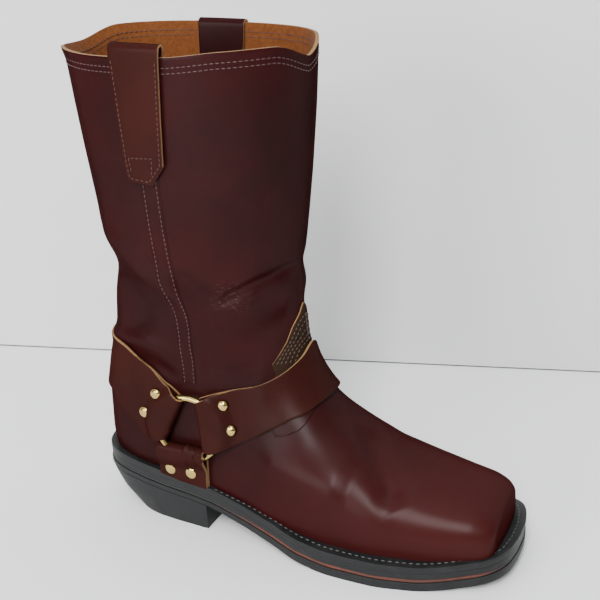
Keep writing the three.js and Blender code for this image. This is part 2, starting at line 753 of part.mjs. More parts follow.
let frontDrilled = frontStrap;
let backDrilled = backStrap;
for (const side of Object.keys(SIDE)) {
  frontDrilled = setRivets(frontDrilled, "front", side);
  backDrilled = setRivets(backDrilled, "back", side);
  tabs[side] = setRivets(tabs[side], "tab", side);
}
add("front_strap", geometryOf(frontDrilled), FINISH.harness);
add("back_strap", geometryOf(backDrilled), FINISH.harness);
for (const side of Object.keys(SIDE)) add(`ring_tab_${side}`, geometryOf(tabs[side]), FINISH.harness);
for (const { name, rise, seat, turn } of rivets) {
  const head = add(name, rivetHead(rise), FINISH.brass);
  head.position.copy(seat);
  head.quaternion.copy(turn);
}

// Pull straps, from outside over the collar and down inside
function makePullStrap(side) {
  const under = GAP + STRIP_THICK + GAP;
  const top = BOOT_HEIGHT + PULL_RISE + GAP;
  const placed = ([x, down]) => [x * PULL_LENGTH, Math.min(top, BOOT_HEIGHT - down * PULL_LENGTH)];
  const [fore] = placed(PULL_OUTSIDE[0]);
  const [rear] = placed(PULL_OUTSIDE[PULL_OUTSIDE.length - 1]);
  const overEdge = [[rear, BOOT_HEIGHT + GAP], [fore, BOOT_HEIGHT + GAP], [fore, top], [rear, top]];
  const outside = shell(under, under + PULL_THICK, TUCK).intersect(sideBlock(PULL_OUTSIDE.map(placed), side));
  const inner = shell(-WALL - GAP - PULL_THICK, -WALL - GAP, TUCK);
  const inside = inner.intersect(sideBlock(PULL_INSIDE.map(placed), side));
  const over = shell(-WALL - GAP - PULL_THICK, under + PULL_THICK, TUCK).intersect(sideBlock(overEdge, side));
  return outside.add(inside).add(over);
}

for (const side of Object.keys(SIDE)) {
  add(`pull_strap_${side}`, geometryOf(makePullStrap(SIDE[side])), FINISH.harness);
}

export default boot;
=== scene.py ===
"""Looks of the harness boot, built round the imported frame."""
import math

import bmesh
import bpy
import numpy as np
from bpy.props import FloatProperty, FloatVectorProperty, PointerProperty
from mathutils import Matrix, Vector


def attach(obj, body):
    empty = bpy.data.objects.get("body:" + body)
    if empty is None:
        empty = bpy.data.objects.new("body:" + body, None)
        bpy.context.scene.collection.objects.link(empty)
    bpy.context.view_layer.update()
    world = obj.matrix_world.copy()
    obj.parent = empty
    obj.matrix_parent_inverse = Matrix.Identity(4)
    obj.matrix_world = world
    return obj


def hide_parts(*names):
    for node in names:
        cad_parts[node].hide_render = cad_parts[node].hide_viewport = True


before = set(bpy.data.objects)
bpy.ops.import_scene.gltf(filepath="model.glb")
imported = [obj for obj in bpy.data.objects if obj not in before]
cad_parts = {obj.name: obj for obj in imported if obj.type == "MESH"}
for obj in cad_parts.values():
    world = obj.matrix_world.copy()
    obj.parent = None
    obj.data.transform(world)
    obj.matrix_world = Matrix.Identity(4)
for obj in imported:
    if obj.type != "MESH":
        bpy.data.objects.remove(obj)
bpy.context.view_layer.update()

bl_info = {
    "name": "Harness boot",
    "version": (1, 0, 0),
    "blender": (4, 5, 0),
    "location": "View3D > Sidebar > Boot",
    "description": "Builds the leather, harness, sole and stitching of a harness boot",
    "category": "Object",
}

MM = 0.001
TURN = 2 * math.pi

# Last and sole, in millimetres
SOLE_LENGTH = 309
SEAT_BACK = 63
BALL_WIDTH = 102
INSTEP_HEIGHT = 158
HEEL_HEIGHT = 20
HEEL_RAKE = 24
HEEL_TAPER = 1.6
HEEL_KNEE_UP = 0.45
HEEL_KNEE_RAKE = 0.4
HEEL_BREAST = 31.4
TOE_SPRING = 9
WELT_STAND = 8.5
OUTSOLE_THICK = 6
SHANK_THIN = 2.5
SOLE_LINE_THICK = 2
MIDSOLE_THICK = 4.4
WELT_THICK = 4.4
LINE_INSET = 0.6
MIDSOLE_INSET = 0.4
INSOLE_INSET = 3.4
INSOLE_THICK = 3
TUCK = 12

# Shaft
BOOT_HEIGHT = 344
SHAFT_AXIS = 14.5
SHAFT_DEPTH = 167
SHAFT_WIDTH = 120
DIP_FADE = 60
WALL = 2.2

# Harness and trim
GAP = 0.3
PATCH_THICK = 1.3
PATCH_LIFT = 0.65
PATCH_UNDER_STRAP = 105
STRIP_THICK = 1.2
STRIP_LIFT = 0.75
RING_X = 20
RING_Z = 79
RING_RADIUS = 23.5
RING_WIRE = 4.5
BRIDGE = 0.45
COLLAR_ROWS = [6.2, 9.6]
PULL_THICK = 2
PULL_TOP = 346.2
PULL_INSIDE_END = 283
DOUBLE = 34
FLEX_POINT = (0.056, -0.038, 0.181)
FEATHER = 0.55
COLLAR_TOP = 343.0
WELT_STITCHES_FROM = 37
WELT_STITCH = 3.3
WELT_THREAD = 0.9
WELT_PITCH = 4.6
COLLAR_STITCH = 2.9
COLLAR_PITCH = 3.5

# Fineness of the meshes
UPPER_ROWS = 236
UPPER_PER_QUARTER = 50
STRAP_STATIONS = 150
TAB_STATIONS = 26
STRAP_ACROSS = 24
STRIP_STATIONS = 110
STRIP_ACROSS = 8
PATCH_STATIONS = 110
PATCH_ACROSS = 40
PULL_ACROSS = 18
PLATE_STATIONS = 170
PLATE_ACROSS = 14
HEEL_LEVELS = 16
RING_STEPS = 120
WIRE_STEPS = 24
HEAD_STEPS = 40

LATERAL = -1
MEDIAL = 1
SIDES = {"lateral": LATERAL, "medial": MEDIAL}

# Sections of the foot: ridge, rise, base, lateral, medial, belly, crown, wall, lean.
FOOT = [
    [0.974, 0.228, 0.974, 0.235, 0.205, 0.55, 3.4, 3.4, 0.08],
    [0.971, 0.283, 0.971, 0.312, 0.275, 0.58, 3.4, 4.5, 0.08],
    [0.959, 0.31, 0.962, 0.356, 0.33, 0.62, 3.2, 6.0, 0.08],
    [0.93, 0.337, 0.937, 0.39, 0.38, 0.66, 3.0, 6.0, 0.08],
    [0.873, 0.362, 0.88, 0.432, 0.428, 0.68, 2.7, 6.0, 0.08],
    [0.796, 0.4, 0.802, 0.478, 0.464, 0.7, 2.5, 6.0, 0.08],
    [0.705, 0.46, 0.699, 0.515, 0.471, 0.72, 2.4, 6.0, 0.08],
    [0.628, 0.542, 0.589, 0.505, 0.446, 0.73, 2.3, 6.0, 0.08],
    [0.57, 0.628, 0.479, 0.463, 0.402, 0.74, 2.2, 5.0, 0.078],
    [0.534, 0.718, 0.362, 0.4, 0.368, 0.72, 2.15, 5.0, 0.07],
    [0.511, 0.814, 0.233, 0.366, 0.356, 0.68, 2.1, 5.0, 0.06],
    [0.498, 0.916, 0.097, 0.354, 0.352, 0.64, 2.1, 4.0, 0.055],
    [0.495, 1.0, 0.026, 0.358, 0.356, 0.6, 2.1, 2.6, 0.045],
]

# Sections of the shaft: frontUp, backUp, front, back, half, belly, crown, wall, lean.
SHAFT = [
    [0.491, 0.157, 0.446, 0.461, 0.3125, 0.56, 2.1, 2.3, 0.033],
    [0.529, 0.227, 0.446, 0.464, 0.329, 0.53, 2.1, 2.2, 0.033],
    [0.573, 0.308, 0.449, 0.434, 0.35, 0.51, 2.2, 2.2, 0.025],
    [0.628, 0.401, 0.458, 0.392, 0.383, 0.5, 2.3, 2.2, 0.017],
    [0.698, 0.512, 0.467, 0.374, 0.425, 0.5, 2.4, 2.3, 0.017],
    [0.785, 0.651, 0.479, 0.404, 0.463, 0.5, 2.5, 2.4, 0.008],
    [0.887, 0.829, 0.494, 0.458, 0.488, 0.5, 2.5, 2.4, 0.0],
    [1.0, 1.0, 0.503, 0.503, 0.5, 0.5, 2.5, 2.4, 0.0],
]

# Featherline from the seat to the toe: at, lateral, medial, stand.
FEATHERLINE = [
    [0.006, 0.05, 0.05, 0.25], [0.01, 0.1, 0.1, 0.25], [0.018, 0.167, 0.167, 0.25],
    [0.036, 0.23, 0.23, 0.25], [0.063, 0.284, 0.284, 0.25], [0.104, 0.324, 0.324, 0.25],
    [0.152, 0.348, 0.348, 0.25], [0.223, 0.358, 0.353, 0.35], [0.307, 0.358, 0.343, 0.55],
    [0.392, 0.373, 0.319, 0.75], [0.479, 0.417, 0.328, 0.9], [0.57, 0.49, 0.373, 1.0],
    [0.654, 0.52, 0.426, 1.0], [0.722, 0.525, 0.451, 1.0], [0.796, 0.49, 0.456, 1.0],
    [0.858, 0.436, 0.441, 1.0], [0.906, 0.373, 0.426, 1.0], [0.94, 0.328, 0.37, 1.0],
    [0.961, 0.275, 0.31, 1.0], [0.974, 0.2, 0.2, 1.0], [0.98, 0.08, 0.08, 1.0],
]

# Underside of the sole from the seat to the toe: at, heel, spring.
TREAD_LINE = [
    [-0.02, 1.5, 0], [0.12, 1.33, 0], [0.184, 1.2, 0], [0.307, 1.0, 0], [0.392, 0.68, 0], [0.479, 0.36, 0],
    [0.567, 0.1, 0], [0.631, 0, 0], [0.813, 0, 0], [0.877, 0, 0.17], [0.942, 0, 0.5], [1.01, 0, 1],
]

# Dip of the collar at every twelfth of a turn, from the front over the lateral side.
COLLAR_DIP = [10, 0.5, 2, 6.5, 7.5, 7, 9, 1.5, 0.5, 0, 0, 0.5, 10]

# Strap edges seen from the side, in shares of INSTEP_HEIGHT, from the ring to the ridge or heel.
FRONT_STRAP_TOP = [
    [0.161, 0.633], [0.187, 0.65], [0.239, 0.671], [0.32, 0.697], [0.427, 0.722], [0.522, 0.772],
    [0.573, 0.827], [0.592, 0.874],
]
FRONT_STRAP_BOTTOM = [
    [0.202, 0.423], [0.253, 0.408], [0.376, 0.468], [0.498, 0.538], [0.587, 0.589], [0.65, 0.618],
    [0.705, 0.654],
]
BACK_STRAP_TOP = [
    [0.112, 0.637], [0.034, 0.698], [-0.026, 0.75], [-0.073, 0.779], [-0.134, 0.811], [-0.193, 0.839],
    [-0.271, 0.848],
]
BACK_STRAP_BOTTOM = [
    [0.022, 0.442], [-0.02, 0.426], [-0.061, 0.416], [-0.131, 0.451], [-0.19, 0.48], [-0.258, 0.54],
    [-0.306, 0.582],
]
TAB_FORE = [[0.209, 0.414], [0.214, 0.22]]
TAB_REAR = [[-0.022, 0.414], [-0.032, 0.235]]
PATCH_CLIMB = [0.33, 0.48]

# Rivets from the ring's centre in shares of RING_RADIUS.
STRAP_RIVETS = [[1.1, 0.868], [1.383, 0.149], [-0.957, 1.03], [-1.434, 0.289]]
TAB_RIVETS = [[-0.677, -1.485], [0.043, -1.481]]

# Outline of the instep patch from its top on the ridge down one side, in shares of INSTEP_HEIGHT.
PATCH_EDGE = [
    [0.575, 1.055], [0.562, 1.022], [0.547, 0.972], [0.53, 0.905], [0.508, 0.856], [0.483, 0.81],
    [0.501, 0.771], [0.506, 0.68], [0.506, 0.6], [0.513, 0.545], [0.532, 0.517], [0.582, 0.53],
    [0.631, 0.554], [0.65, 0.575], [0.656, 0.6], [0.664, 0.64],
]
PATCH_END = [0.69, 0.665]

# Side seam strips: height, centre and half width in shares of INSTEP_HEIGHT.
SEAM_STRIP = [
    [0.71, 0.134, 0.031], [1.03, 0.137, 0.032], [1.12, 0.127, 0.036], [1.18, 0.11, 0.038],
    [1.24, 0.096, 0.04], [1.39, 0.084, 0.042], [1.6, 0.076, 0.042], [1.9, 0.065, 0.042],
    [2.1, 0.057, 0.042],
]

# Pull strap corners seen from the side: rear and fore x at each height, tip first.
PULL_TIP = [[-1.9, 259.4], [15, 258]]
PULL_CORNER = [[-3.4, 265], [24.3, 270.9]]
PULL_HEAD = [[-8.6, 342], [26.6, 342]]
PULL_TAIL = [[-7.7, PULL_INSIDE_END], [24.1, PULL_INSIDE_END]]

# Soft ridges (positive) and troughs of the leather: plane seen from, side, path, height, reach.
CREASES = [
    ("side", LATERAL, [[-40, 222], [-22, 211], [-6, 198], [10, 189], [22, 180], [30, 166]], 3.3, 8),
    ("side", LATERAL, [[-50, 197], [-30, 184], [-12, 168], [2, 152]], -4.6, 15),
    ("side", LATERAL, [[-58, 132], [-46, 134], [-30, 139], [-12, 141], [0, 138], [12, 131]], 2.6, 5.5),
    ("side", LATERAL, [[-50, 122], [-31, 129], [-18, 127], [0, 121], [14, 113]], -2.6, 6.5),
    ("side", LATERAL, [[22, 199], [34, 186], [47, 176]], -1.6, 6),
    ("side", LATERAL, [[44, 177], [50, 178], [58, 183], [70, 190], [84, 196], [98, 199]], -1.7, 3.6),
    ("side", LATERAL, [[36, 196], [48, 186], [58, 190], [70, 197], [86, 203]], 1.0, 8),
    ("side", LATERAL, [[44, 173], [50, 172], [57, 175], [65, 180], [72, 185]], 1.3, 3.2),
    ("side", LATERAL, [[44, 158], [62, 166], [80, 176], [94, 184]], 3.6, 14),
    ("side", LATERAL, [[30, 128], [50, 121], [70, 126]], -1.2, 8),
    ("side", MEDIAL, [[-40, 215], [-20, 204], [0, 192], [18, 178]], 2.2, 9),
    ("side", MEDIAL, [[-46, 190], [-26, 176], [-6, 160]], -3.0, 14),
    ("side", MEDIAL, [[-56, 134], [-30, 140], [-8, 139], [10, 131]], 2.2, 6),
    ("side", MEDIAL, [[-46, 122], [-20, 127], [6, 118]], -2.2, 7),
    ("side", MEDIAL, [[30, 190], [52, 176], [72, 188], [94, 200]], -1.8, 5),
    ("side", MEDIAL, [[50, 164], [66, 172], [90, 184]], 2.2, 8),
    ("top", 0, [[138, 4], [146, -8], [154, -18], [161, -28], [168, -36], [174, -43]], -4.0, 10),
    ("side", LATERAL, [[72, 62], [100, 60], [126, 58], [140, 57]], 2.4, 13),
    ("top", 0, [[150, 12], [157, 22], [160, 34]], -1.0, 9),
    ("top", 0, [[118, 0], [124, -8], [129, -14]], -0.7, 4),
]


def measure(name, description, default, least, most):
    return FloatProperty(
        name=name, description=description, default=default * MM, min=least * MM, max=most * MM, unit="LENGTH")


class BootSizes(bpy.types.PropertyGroup):
    """Sizes that a user would change."""

    strap: measure("Strap thickness", "Thickness of the harness straps", 2.2, 1, 4)
    stitch: measure("Stitch length", "Length of one stitch on the leather", 2.5, 1, 6)
    pitch: measure("Stitch spacing", "From one stitch to the next", 3.2, 1.5, 10)
    thread: measure("Thread thickness", "Thickness of the sewing thread", 0.75, 0.2, 2)
    rivet: measure("Rivet width", "Width of a rivet head", 8.4, 4, 14)
    dome: measure("Rivet rise", "Height of a domed rivet head", 2.4, 0.5, 4)
    curl: measure("Collar curl", "How far the back of the collar curls out", 2.6, 0, 6)


def colour(name, description, default):
    return FloatVectorProperty(
        name=name, description=description, default=default, min=0.0, max=1.0, size=3, subtype="COLOR")


class BootColours(bpy.types.PropertyGroup):
    """Colours that a user would change."""

    upper: colour("Upper", "Oxblood of the upper", (0.0235, 0.0034, 0.0037))
    upper_dark: colour("Upper shade", "Darker brown in the upper", (0.0135, 0.003, 0.0028))
    harness: colour("Harness", "Red-brown of the straps", (0.03, 0.0068, 0.0052))
    harness_dark: colour("Harness shade", "Darker parts of the straps", (0.021, 0.0052, 0.0041))
    raw_edge: colour("Raw edge", "Cut edge of the leather", (0.34, 0.19, 0.075))
    patch: colour("Patch", "Brown of the instep patch", (0.03, 0.0165, 0.0105))
    suede: colour("Suede", "Unlined inside of the shaft", (0.168, 0.055, 0.0145))
    suede_dark: colour("Suede shade", "Darker nap inside the shaft", (0.115, 0.034, 0.0075))
    insole: colour("Insole", "Insole leather", (0.35, 0.19, 0.08))
    rubber: colour("Rubber", "Black of the sole and heel", (0.0065, 0.0069, 0.0072))
    line: colour("Sole line", "Brick-red layer of the sole", (0.105, 0.023, 0.01))
    brass: colour("Brass", "Rings and rivets", (0.52, 0.39, 0.13))
    thread: colour("Thread", "Thread of the upper", (0.075, 0.033, 0.032))
    welt_thread: colour("Welt thread", "Light thread of the welt", (0.075, 0.075, 0.073))


# Interpolation through a table's rows that never overshoots them.
def steady(rows):
    values = np.asarray(rows, float)
    if values.ndim == 1:
        values = values[:, None]
    rise = np.diff(values, axis=0)
    before, after = rise[:-1], rise[1:]
    product = before * after
    total = np.where(product > 0, before + after, 1)
    slope = np.concatenate([rise[:1], np.where(product > 0, 2 * product / total, 0), rise[-1:]])
    last = len(values) - 1

    def value(at):
        at = np.asarray(at, float)
        i = np.clip(np.floor(at).astype(int), 0, last - 1)
        t = (at - i)[..., None]
        h = t * t * (3 - 2 * t)
        early = t * (1 - t) * (1 - t) * slope[i]
        late = t * t * (t - 1) * slope[i + 1]
        return values[i] * (1 - h) + values[i + 1] * h + early + late

    return value


def sole_x(at):
    return np.asarray(at) * SOLE_LENGTH - SEAT_BACK


tread_row = steady(TREAD_LINE)
TREAD_PLACES = sole_x([row[0] for row in TREAD_LINE])


def tread_at(x):
    return tread_row(np.interp(x, TREAD_PLACES, np.arange(len(TREAD_LINE))))


def underside(x):
    row = tread_at(x)
    return row[..., 1] * HEEL_HEIGHT + row[..., 2] * TOE_SPRING


def line_bottom(x):
    thickness = OUTSOLE_THICK - SHANK_THIN * np.minimum(1, tread_at(x)[..., 1])
    return underside(x) + thickness + GAP


def midsole_bottom(x):
    return line_bottom(x) + SOLE_LINE_THICK + GAP


def welt_bottom(x):
    return midsole_bottom(x) + MIDSOLE_THICK + GAP


def sole_top(x):
    return welt_bottom(x) + WELT_THICK


def all_sections():
    rows = []
    for ridge, rise, base, lateral, medial, belly, crown, wall, lean in FOOT:
        rows.append([
            sole_x(ridge), rise * INSTEP_HEIGHT, sole_x(base), sole_top(sole_x(base)) - TUCK,
            lateral * BALL_WIDTH, medial * BALL_WIDTH, belly, crown, wall, lean * BALL_WIDTH])
    for front_up, back_up, front, back, half, belly, crown, wall, lean in SHAFT:
        rows.append([
            SHAFT_AXIS + front * SHAFT_DEPTH, front_up * BOOT_HEIGHT,
            SHAFT_AXIS - back * SHAFT_DEPTH, back_up * BOOT_HEIGHT,
            half * SHAFT_WIDTH, half * SHAFT_WIDTH, belly, crown, wall, lean * SHAFT_WIDTH])
    return rows


section_at = steady(all_sections())
COLLAR = len(FOOT) + len(SHAFT) - 1
dip_row = steady(COLLAR_DIP)


def last_point(row, angle):
    """Point of the upper's outer surface, before its creases. Negative angles are medial."""
    parts = np.moveaxis(section_at(row), -1, 0)
    ridge_x, ridge_z, base_x, base_z, lateral, medial, belly, crown, wall, lean = parts
    c = np.cos(angle)
    power = 2 / np.where(c >= 0, crown, wall)
    inward = np.abs(c) ** power
    down = np.where(c >= 0, belly * (1 - inward), belly + (1 - belly) * inward)
    out = np.abs(np.sin(angle)) ** power
    half = np.where(np.sin(angle) >= 0, -lateral, medial)
    x = ridge_x + down * (base_x - ridge_x)
    y = lean + (half - lean) * out
    z = ridge_z + down * (base_z - ridge_z)
    turns = np.asarray(angle) / TURN
    dip = dip_row((turns - np.floor(turns)) * (len(COLLAR_DIP) - 1))[..., 0]
    fade = np.maximum(0, 1 - (BOOT_HEIGHT - z) / DIP_FADE)
    return np.stack([x, y, z - fade * dip], axis=-1)


def unit(vectors):
    return vectors / np.maximum(np.linalg.norm(vectors, axis=-1, keepdims=True), 1e-9)


def last_normal(row, angle):
    step = 0.04
    along = last_point(np.minimum(COLLAR, row + step), angle) - last_point(np.maximum(0, row - step), angle)
    round_it = last_point(row, angle + step) - last_point(row, angle - step)
    return unit(np.cross(along, round_it))


def path_distance(points, path):
    """Distance of flat points from a path, and how far along it they lie, from 0 to 1."""
    path = np.asarray(path, float)
    best = np.full(points.shape[:-1], 1e9)
    share = np.zeros(points.shape[:-1])
    lengths = np.linalg.norm(np.diff(path, axis=0), axis=1)
    starts = np.concatenate([[0], np.cumsum(lengths)]) / lengths.sum()
    for i, length in enumerate(lengths):
        a, b = path[i], path[i + 1]
        t = np.clip(((points - a) @ (b - a)) / length ** 2, 0, 1)
        away = np.linalg.norm(points - a - t[..., None] * (b - a), axis=-1)
        closer = away < best
        best = np.where(closer, away, best)
        share = np.where(closer, starts[i] + t * (starts[i + 1] - starts[i]), share)
    return best, share


def relief(points):
    """Height of the creases over the last surface."""
    height = np.zeros(points.shape[:-1])
    for plane, side, path, rise, reach in CREASES:
        flat = points[..., [0, 2]] if plane == "side" else points[..., [0, 1]]
        away, share = path_distance(flat, path)
        fade = np.clip(4 * share * (1 - share) * 1.6 + 0.12, 0, 1)
        where = 1.0
        if side:
            where = np.clip(points[..., 1] * side / 12, 0, 1)
        elif plane == "top":
            where = np.clip((points[..., 2] - sole_top(points[..., 0]) - 6) / 12, 0, 1)
        height += rise * np.exp(-((away / reach) ** 2)) * fade * where
    low = np.clip((points[..., 2] - sole_top(points[..., 0])) / 14, 0, 1)
    return height * low


def skin(row, angle, lift=0.0, bridge=1.0):
    """Point at a height over the upper, whose creases count by the share that a strap follows."""
    base = last_point(row, angle)
    return base + last_normal(row, angle) * (bridge * relief(base) + lift)[..., None]


# Places on the upper found from the side view
SCAN_ROWS = np.linspace(0, COLLAR, 500)
SCAN_ANGLES = np.linspace(0.02, math.pi - 0.02, 170)
SCANS = {}
for scan_side in SIDES.values():
    scan_row, scan_angle = np.meshgrid(SCAN_ROWS, -scan_side * SCAN_ANGLES, indexing="ij")
    SCANS[scan_side] = (scan_row, scan_angle, last_point(scan_row, scan_angle))
MIDDLE_ROWS = np.linspace(0, COLLAR, 4000)
RIDGE = last_point(MIDDLE_ROWS, np.zeros(len(MIDDLE_ROWS)))
SPINE = last_point(MIDDLE_ROWS, np.full(len(MIDDLE_ROWS), math.pi))


def side_step(row, angle, x, z, row_limit, angle_limit):
    """Move places on the upper towards x and z in the side view."""
    here = last_point(row, angle)
    by_row = (last_point(row + 0.01, angle) - last_point(row - 0.01, angle)) / 0.02
    by_angle = (last_point(row, angle + 0.01) - last_point(row, angle - 0.01)) / 0.02
    across = by_row[..., 0] * by_angle[..., 2] - by_row[..., 2] * by_angle[..., 0]
    safe = np.where(np.abs(across) < 20, np.inf, across)
    gap_x, gap_z = x - here[..., 0], z - here[..., 2]
    on = (gap_x * by_angle[..., 2] - gap_z * by_angle[..., 0]) / safe
    round_it = (gap_z * by_row[..., 0] - gap_x * by_row[..., 2]) / safe
    return row + np.clip(on, -row_limit, row_limit), angle + np.clip(round_it, -angle_limit, angle_limit)


def find(x, z, side):
    """Row and angle of the place that lies at x and z seen from one side."""
    rows, angles, points = SCANS[side]
    away = (points[..., 0] - x) ** 2 + (points[..., 2] - z) ** 2
    spot = np.unravel_index(np.argmin(away), away.shape)
    row, angle = rows[spot], angles[spot]
    for _ in range(4):
        row, angle = side_step(row, angle, x, z, 0.02, 0.01)
    return np.array([min(row, COLLAR), angle])


def find_all(pairs, side, scale=1.0):
    return np.array([find(x * scale, z * scale, side) for x, z in pairs])


def middle_row(line, spot):
    """Row of the boot's middle line that lies nearest to a spot in the side view."""
    x, z = np.array(spot) * INSTEP_HEIGHT
    return MIDDLE_ROWS[np.argmin((line[:, 0] - x) ** 2 + (line[:, 2] - z) ** 2)]


def smooth_path(controls):
    """A rounded path through the controls."""
    points = np.asarray(controls, float)
    padded = np.concatenate([[2 * points[0] - points[1]], points, [2 * points[-1] - points[-2]]])
    t = np.linspace(0, len(points) - 1, 40 * len(points))
    i = np.minimum(t.astype(int), len(points) - 2)
    f = (t - i)[:, None]
    a, b, c, d = (padded[i + k] for k in range(4))
    square = (2 * a - 5 * b + 4 * c - d) * f ** 2
    return 0.5 * (2 * b + (c - a) * f + square + (3 * b - a - 3 * c + d) * f ** 3)


def walked(points):
    """Distance along a path from its start to each of its points."""
    steps = np.linalg.norm(np.diff(points, axis=0), axis=1)
    return np.concatenate([[0], np.cumsum(steps)])


def sample(wanted, along, points):
    """A path's columns at the wanted distances along it."""
    return np.stack([np.interp(wanted, along, column) for column in points.T], axis=1)


def even(path, count, placed=None):
    """The path at count places, evenly spaced by the real distance along it."""
    along = walked(placed(path) if placed else path)
    return sample(np.linspace(0, along[-1], count), along, path)


def between(first, second, count):
    """Grid of count places from each place of one path to the other path's."""
    share = np.linspace(0, 1, count)[None, :, None]
    return first[:, None, :] * (1 - share) + second[:, None, :] * share


def on_last(path):
    return last_point(path[:, 0], path[:, 1])


# Meshes
def lattice(rows, cols, wrap=False, flip=False):
    faces = []
    for i in range(rows - 1):
        for j in range(cols if wrap else cols - 1):
            k = (j + 1) % cols
            faces.append((i * cols + j, (i + 1) * cols + j, (i + 1) * cols + k, i * cols + k))
    return [face[::-1] for face in faces] if flip else faces


def build(name, points, faces, materials):
    mesh = bpy.data.meshes.new(name)
    mesh.from_pydata((np.asarray(points, float).reshape(-1, 3) * MM).tolist(), [], faces)
    for material in materials:
        mesh.materials.append(material)
    mesh.polygons.foreach_set("use_smooth", [True] * len(mesh.polygons))
    mesh.update()
    piece = bpy.data.objects.new(name, mesh)
    bpy.context.scene.collection.objects.link(piece)
    return piece


def settle(piece):
    """Turn the modifiers' result into the piece's plain mesh."""
    seen = piece.evaluated_get(bpy.context.evaluated_depsgraph_get())
    mesh = bpy.data.meshes.new_from_object(seen)
    old = piece.data
    piece.modifiers.clear()
    piece.data = mesh
    bpy.data.meshes.remove(old)
    mesh.name = piece.name
    return piece


def round_edges(piece, width, segments, degrees):
    bevel = piece.modifiers.new("edges", "BEVEL")
    bevel.width = width * MM
    bevel.segments = segments
    bevel.limit_method = "ANGLE"
    bevel.angle_limit = math.radians(degrees)


def recalculate(piece):
    work = bmesh.new()
    work.from_mesh(piece.data)
    bmesh.ops.recalc_face_normals(work, faces=work.faces)
    work.to_mesh(piece.data)
    work.free()


def thicken(piece, thickness, round_edge, offset=0.0, rim=1, inner=0):
    """Give a sheet its thickness, with the materials of its rim and its inner face."""
    wall = piece.modifiers.new("thickness", "SOLIDIFY")
    wall.thickness = thickness * MM
    wall.offset = offset
    wall.material_offset = inner
    wall.material_offset_rim = rim
    round_edges(piece, round_edge, 2, 50)
    return settle(piece)


def place(piece, slot, *nodes):
    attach(piece, "root")
    if nodes:
        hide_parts(*nodes)
    return piece


# Materials
def wire(tree, made, feed):
    """Set or link a node's inputs."""
    for key, value in feed.items():
        if isinstance(value, bpy.types.NodeSocket):
            tree.links.new(value, made.inputs[key])
        else:
            made.inputs[key].default_value = value


def node(tree, kind, feed=None, **settings):
    made = tree.nodes.new(kind)
    for key, value in settings.items():
        setattr(made, key, value)
    wire(tree, made, feed or {})
    return made


def new_finish(name):
    material = bpy.data.materials.new(name)
    material.use_nodes = True
    tree = material.node_tree
    tree.nodes.clear()
    shader = node(tree, "ShaderNodeBsdfPrincipled")
    out = node(tree, "ShaderNodeOutputMaterial")
    tree.links.new(shader.outputs[0], out.inputs[0])
    where = node(tree, "ShaderNodeTexCoord").outputs["Object"]
    return material, tree, shader, where


def noise(tree, where, scale, detail=3.0, rough=0.5, stretch=None):
    if stretch:
        where = node(tree, "ShaderNodeMapping", {0: where, "Scale": stretch}).outputs[0]
    return node(tree, "ShaderNodeTexNoise", {
        "Vector": where, "Scale": scale, "Detail": detail, "Roughness": rough}).outputs["Fac"]


def spread(tree, value, low, high, to_low=0.0, to_high=1.0):
    return node(tree, "ShaderNodeMapRange", {
        0: value, 1: low, 2: high, 3: to_low, 4: to_high}).outputs[0]


def blend(tree, share, first, second):
    mix = node(tree, "ShaderNodeMix", data_type="RGBA")
    for index, value in ((0, share), (6, first), (7, second)):
        if isinstance(value, bpy.types.NodeSocket):
            tree.links.new(value, mix.inputs[index])
        elif index:
            mix.inputs[index].default_value = (*value[:3], 1)
        else:
            mix.inputs[0].default_value = value
    return mix.outputs[2]


def times(tree, first, second):
    return node(tree, "ShaderNodeMath", {0: first, 1: second}, operation="MULTIPLY").outputs[0]


def bumps(tree, layers):
    """Stack bump layers of height, distance in millimetres and strength."""
    normal = None
    for height, distance, strength in layers:
        feed = {"Height": height, "Distance": distance * MM, "Strength": strength}
        if normal:
            feed["Normal"] = normal
        normal = node(tree, "ShaderNodeBump", feed).outputs[0]
    return normal


def tinted(tone, *by):
    """A colour times one number, or times one for each channel."""
    return tuple(v * k for v, k in zip(tone, by * 3 if len(by) == 1 else by))


def flex_cracks_and_highlight(tree, where, base):
    """Fine light cracks where the shaft folds over the instep, partly real cracking and partly a painted
    highlight on the fold.
    """
    away = node(tree, "ShaderNodeVectorMath", {0: where, 1: FLEX_POINT}, operation="DISTANCE")
    near = spread(tree, away.outputs["Value"], 0.016, 0.003)
    lines = noise(tree, where, 420, 3, 0.6, stretch=(0.6, 1, 2.2))
    both = times(tree, near, spread(tree, lines, 0.54, 0.66))
    # Partly painted highlight: the crack lines are lightened as real cracked finish and as the fold's
    # highlight.
    cracked_with_highlight = blend(tree, spread(tree, both, 0, 1, 0, 0.4), base, (0.14, 0.06, 0.056))
    return cracked_with_highlight, [(both, 0.5, 0.6)]


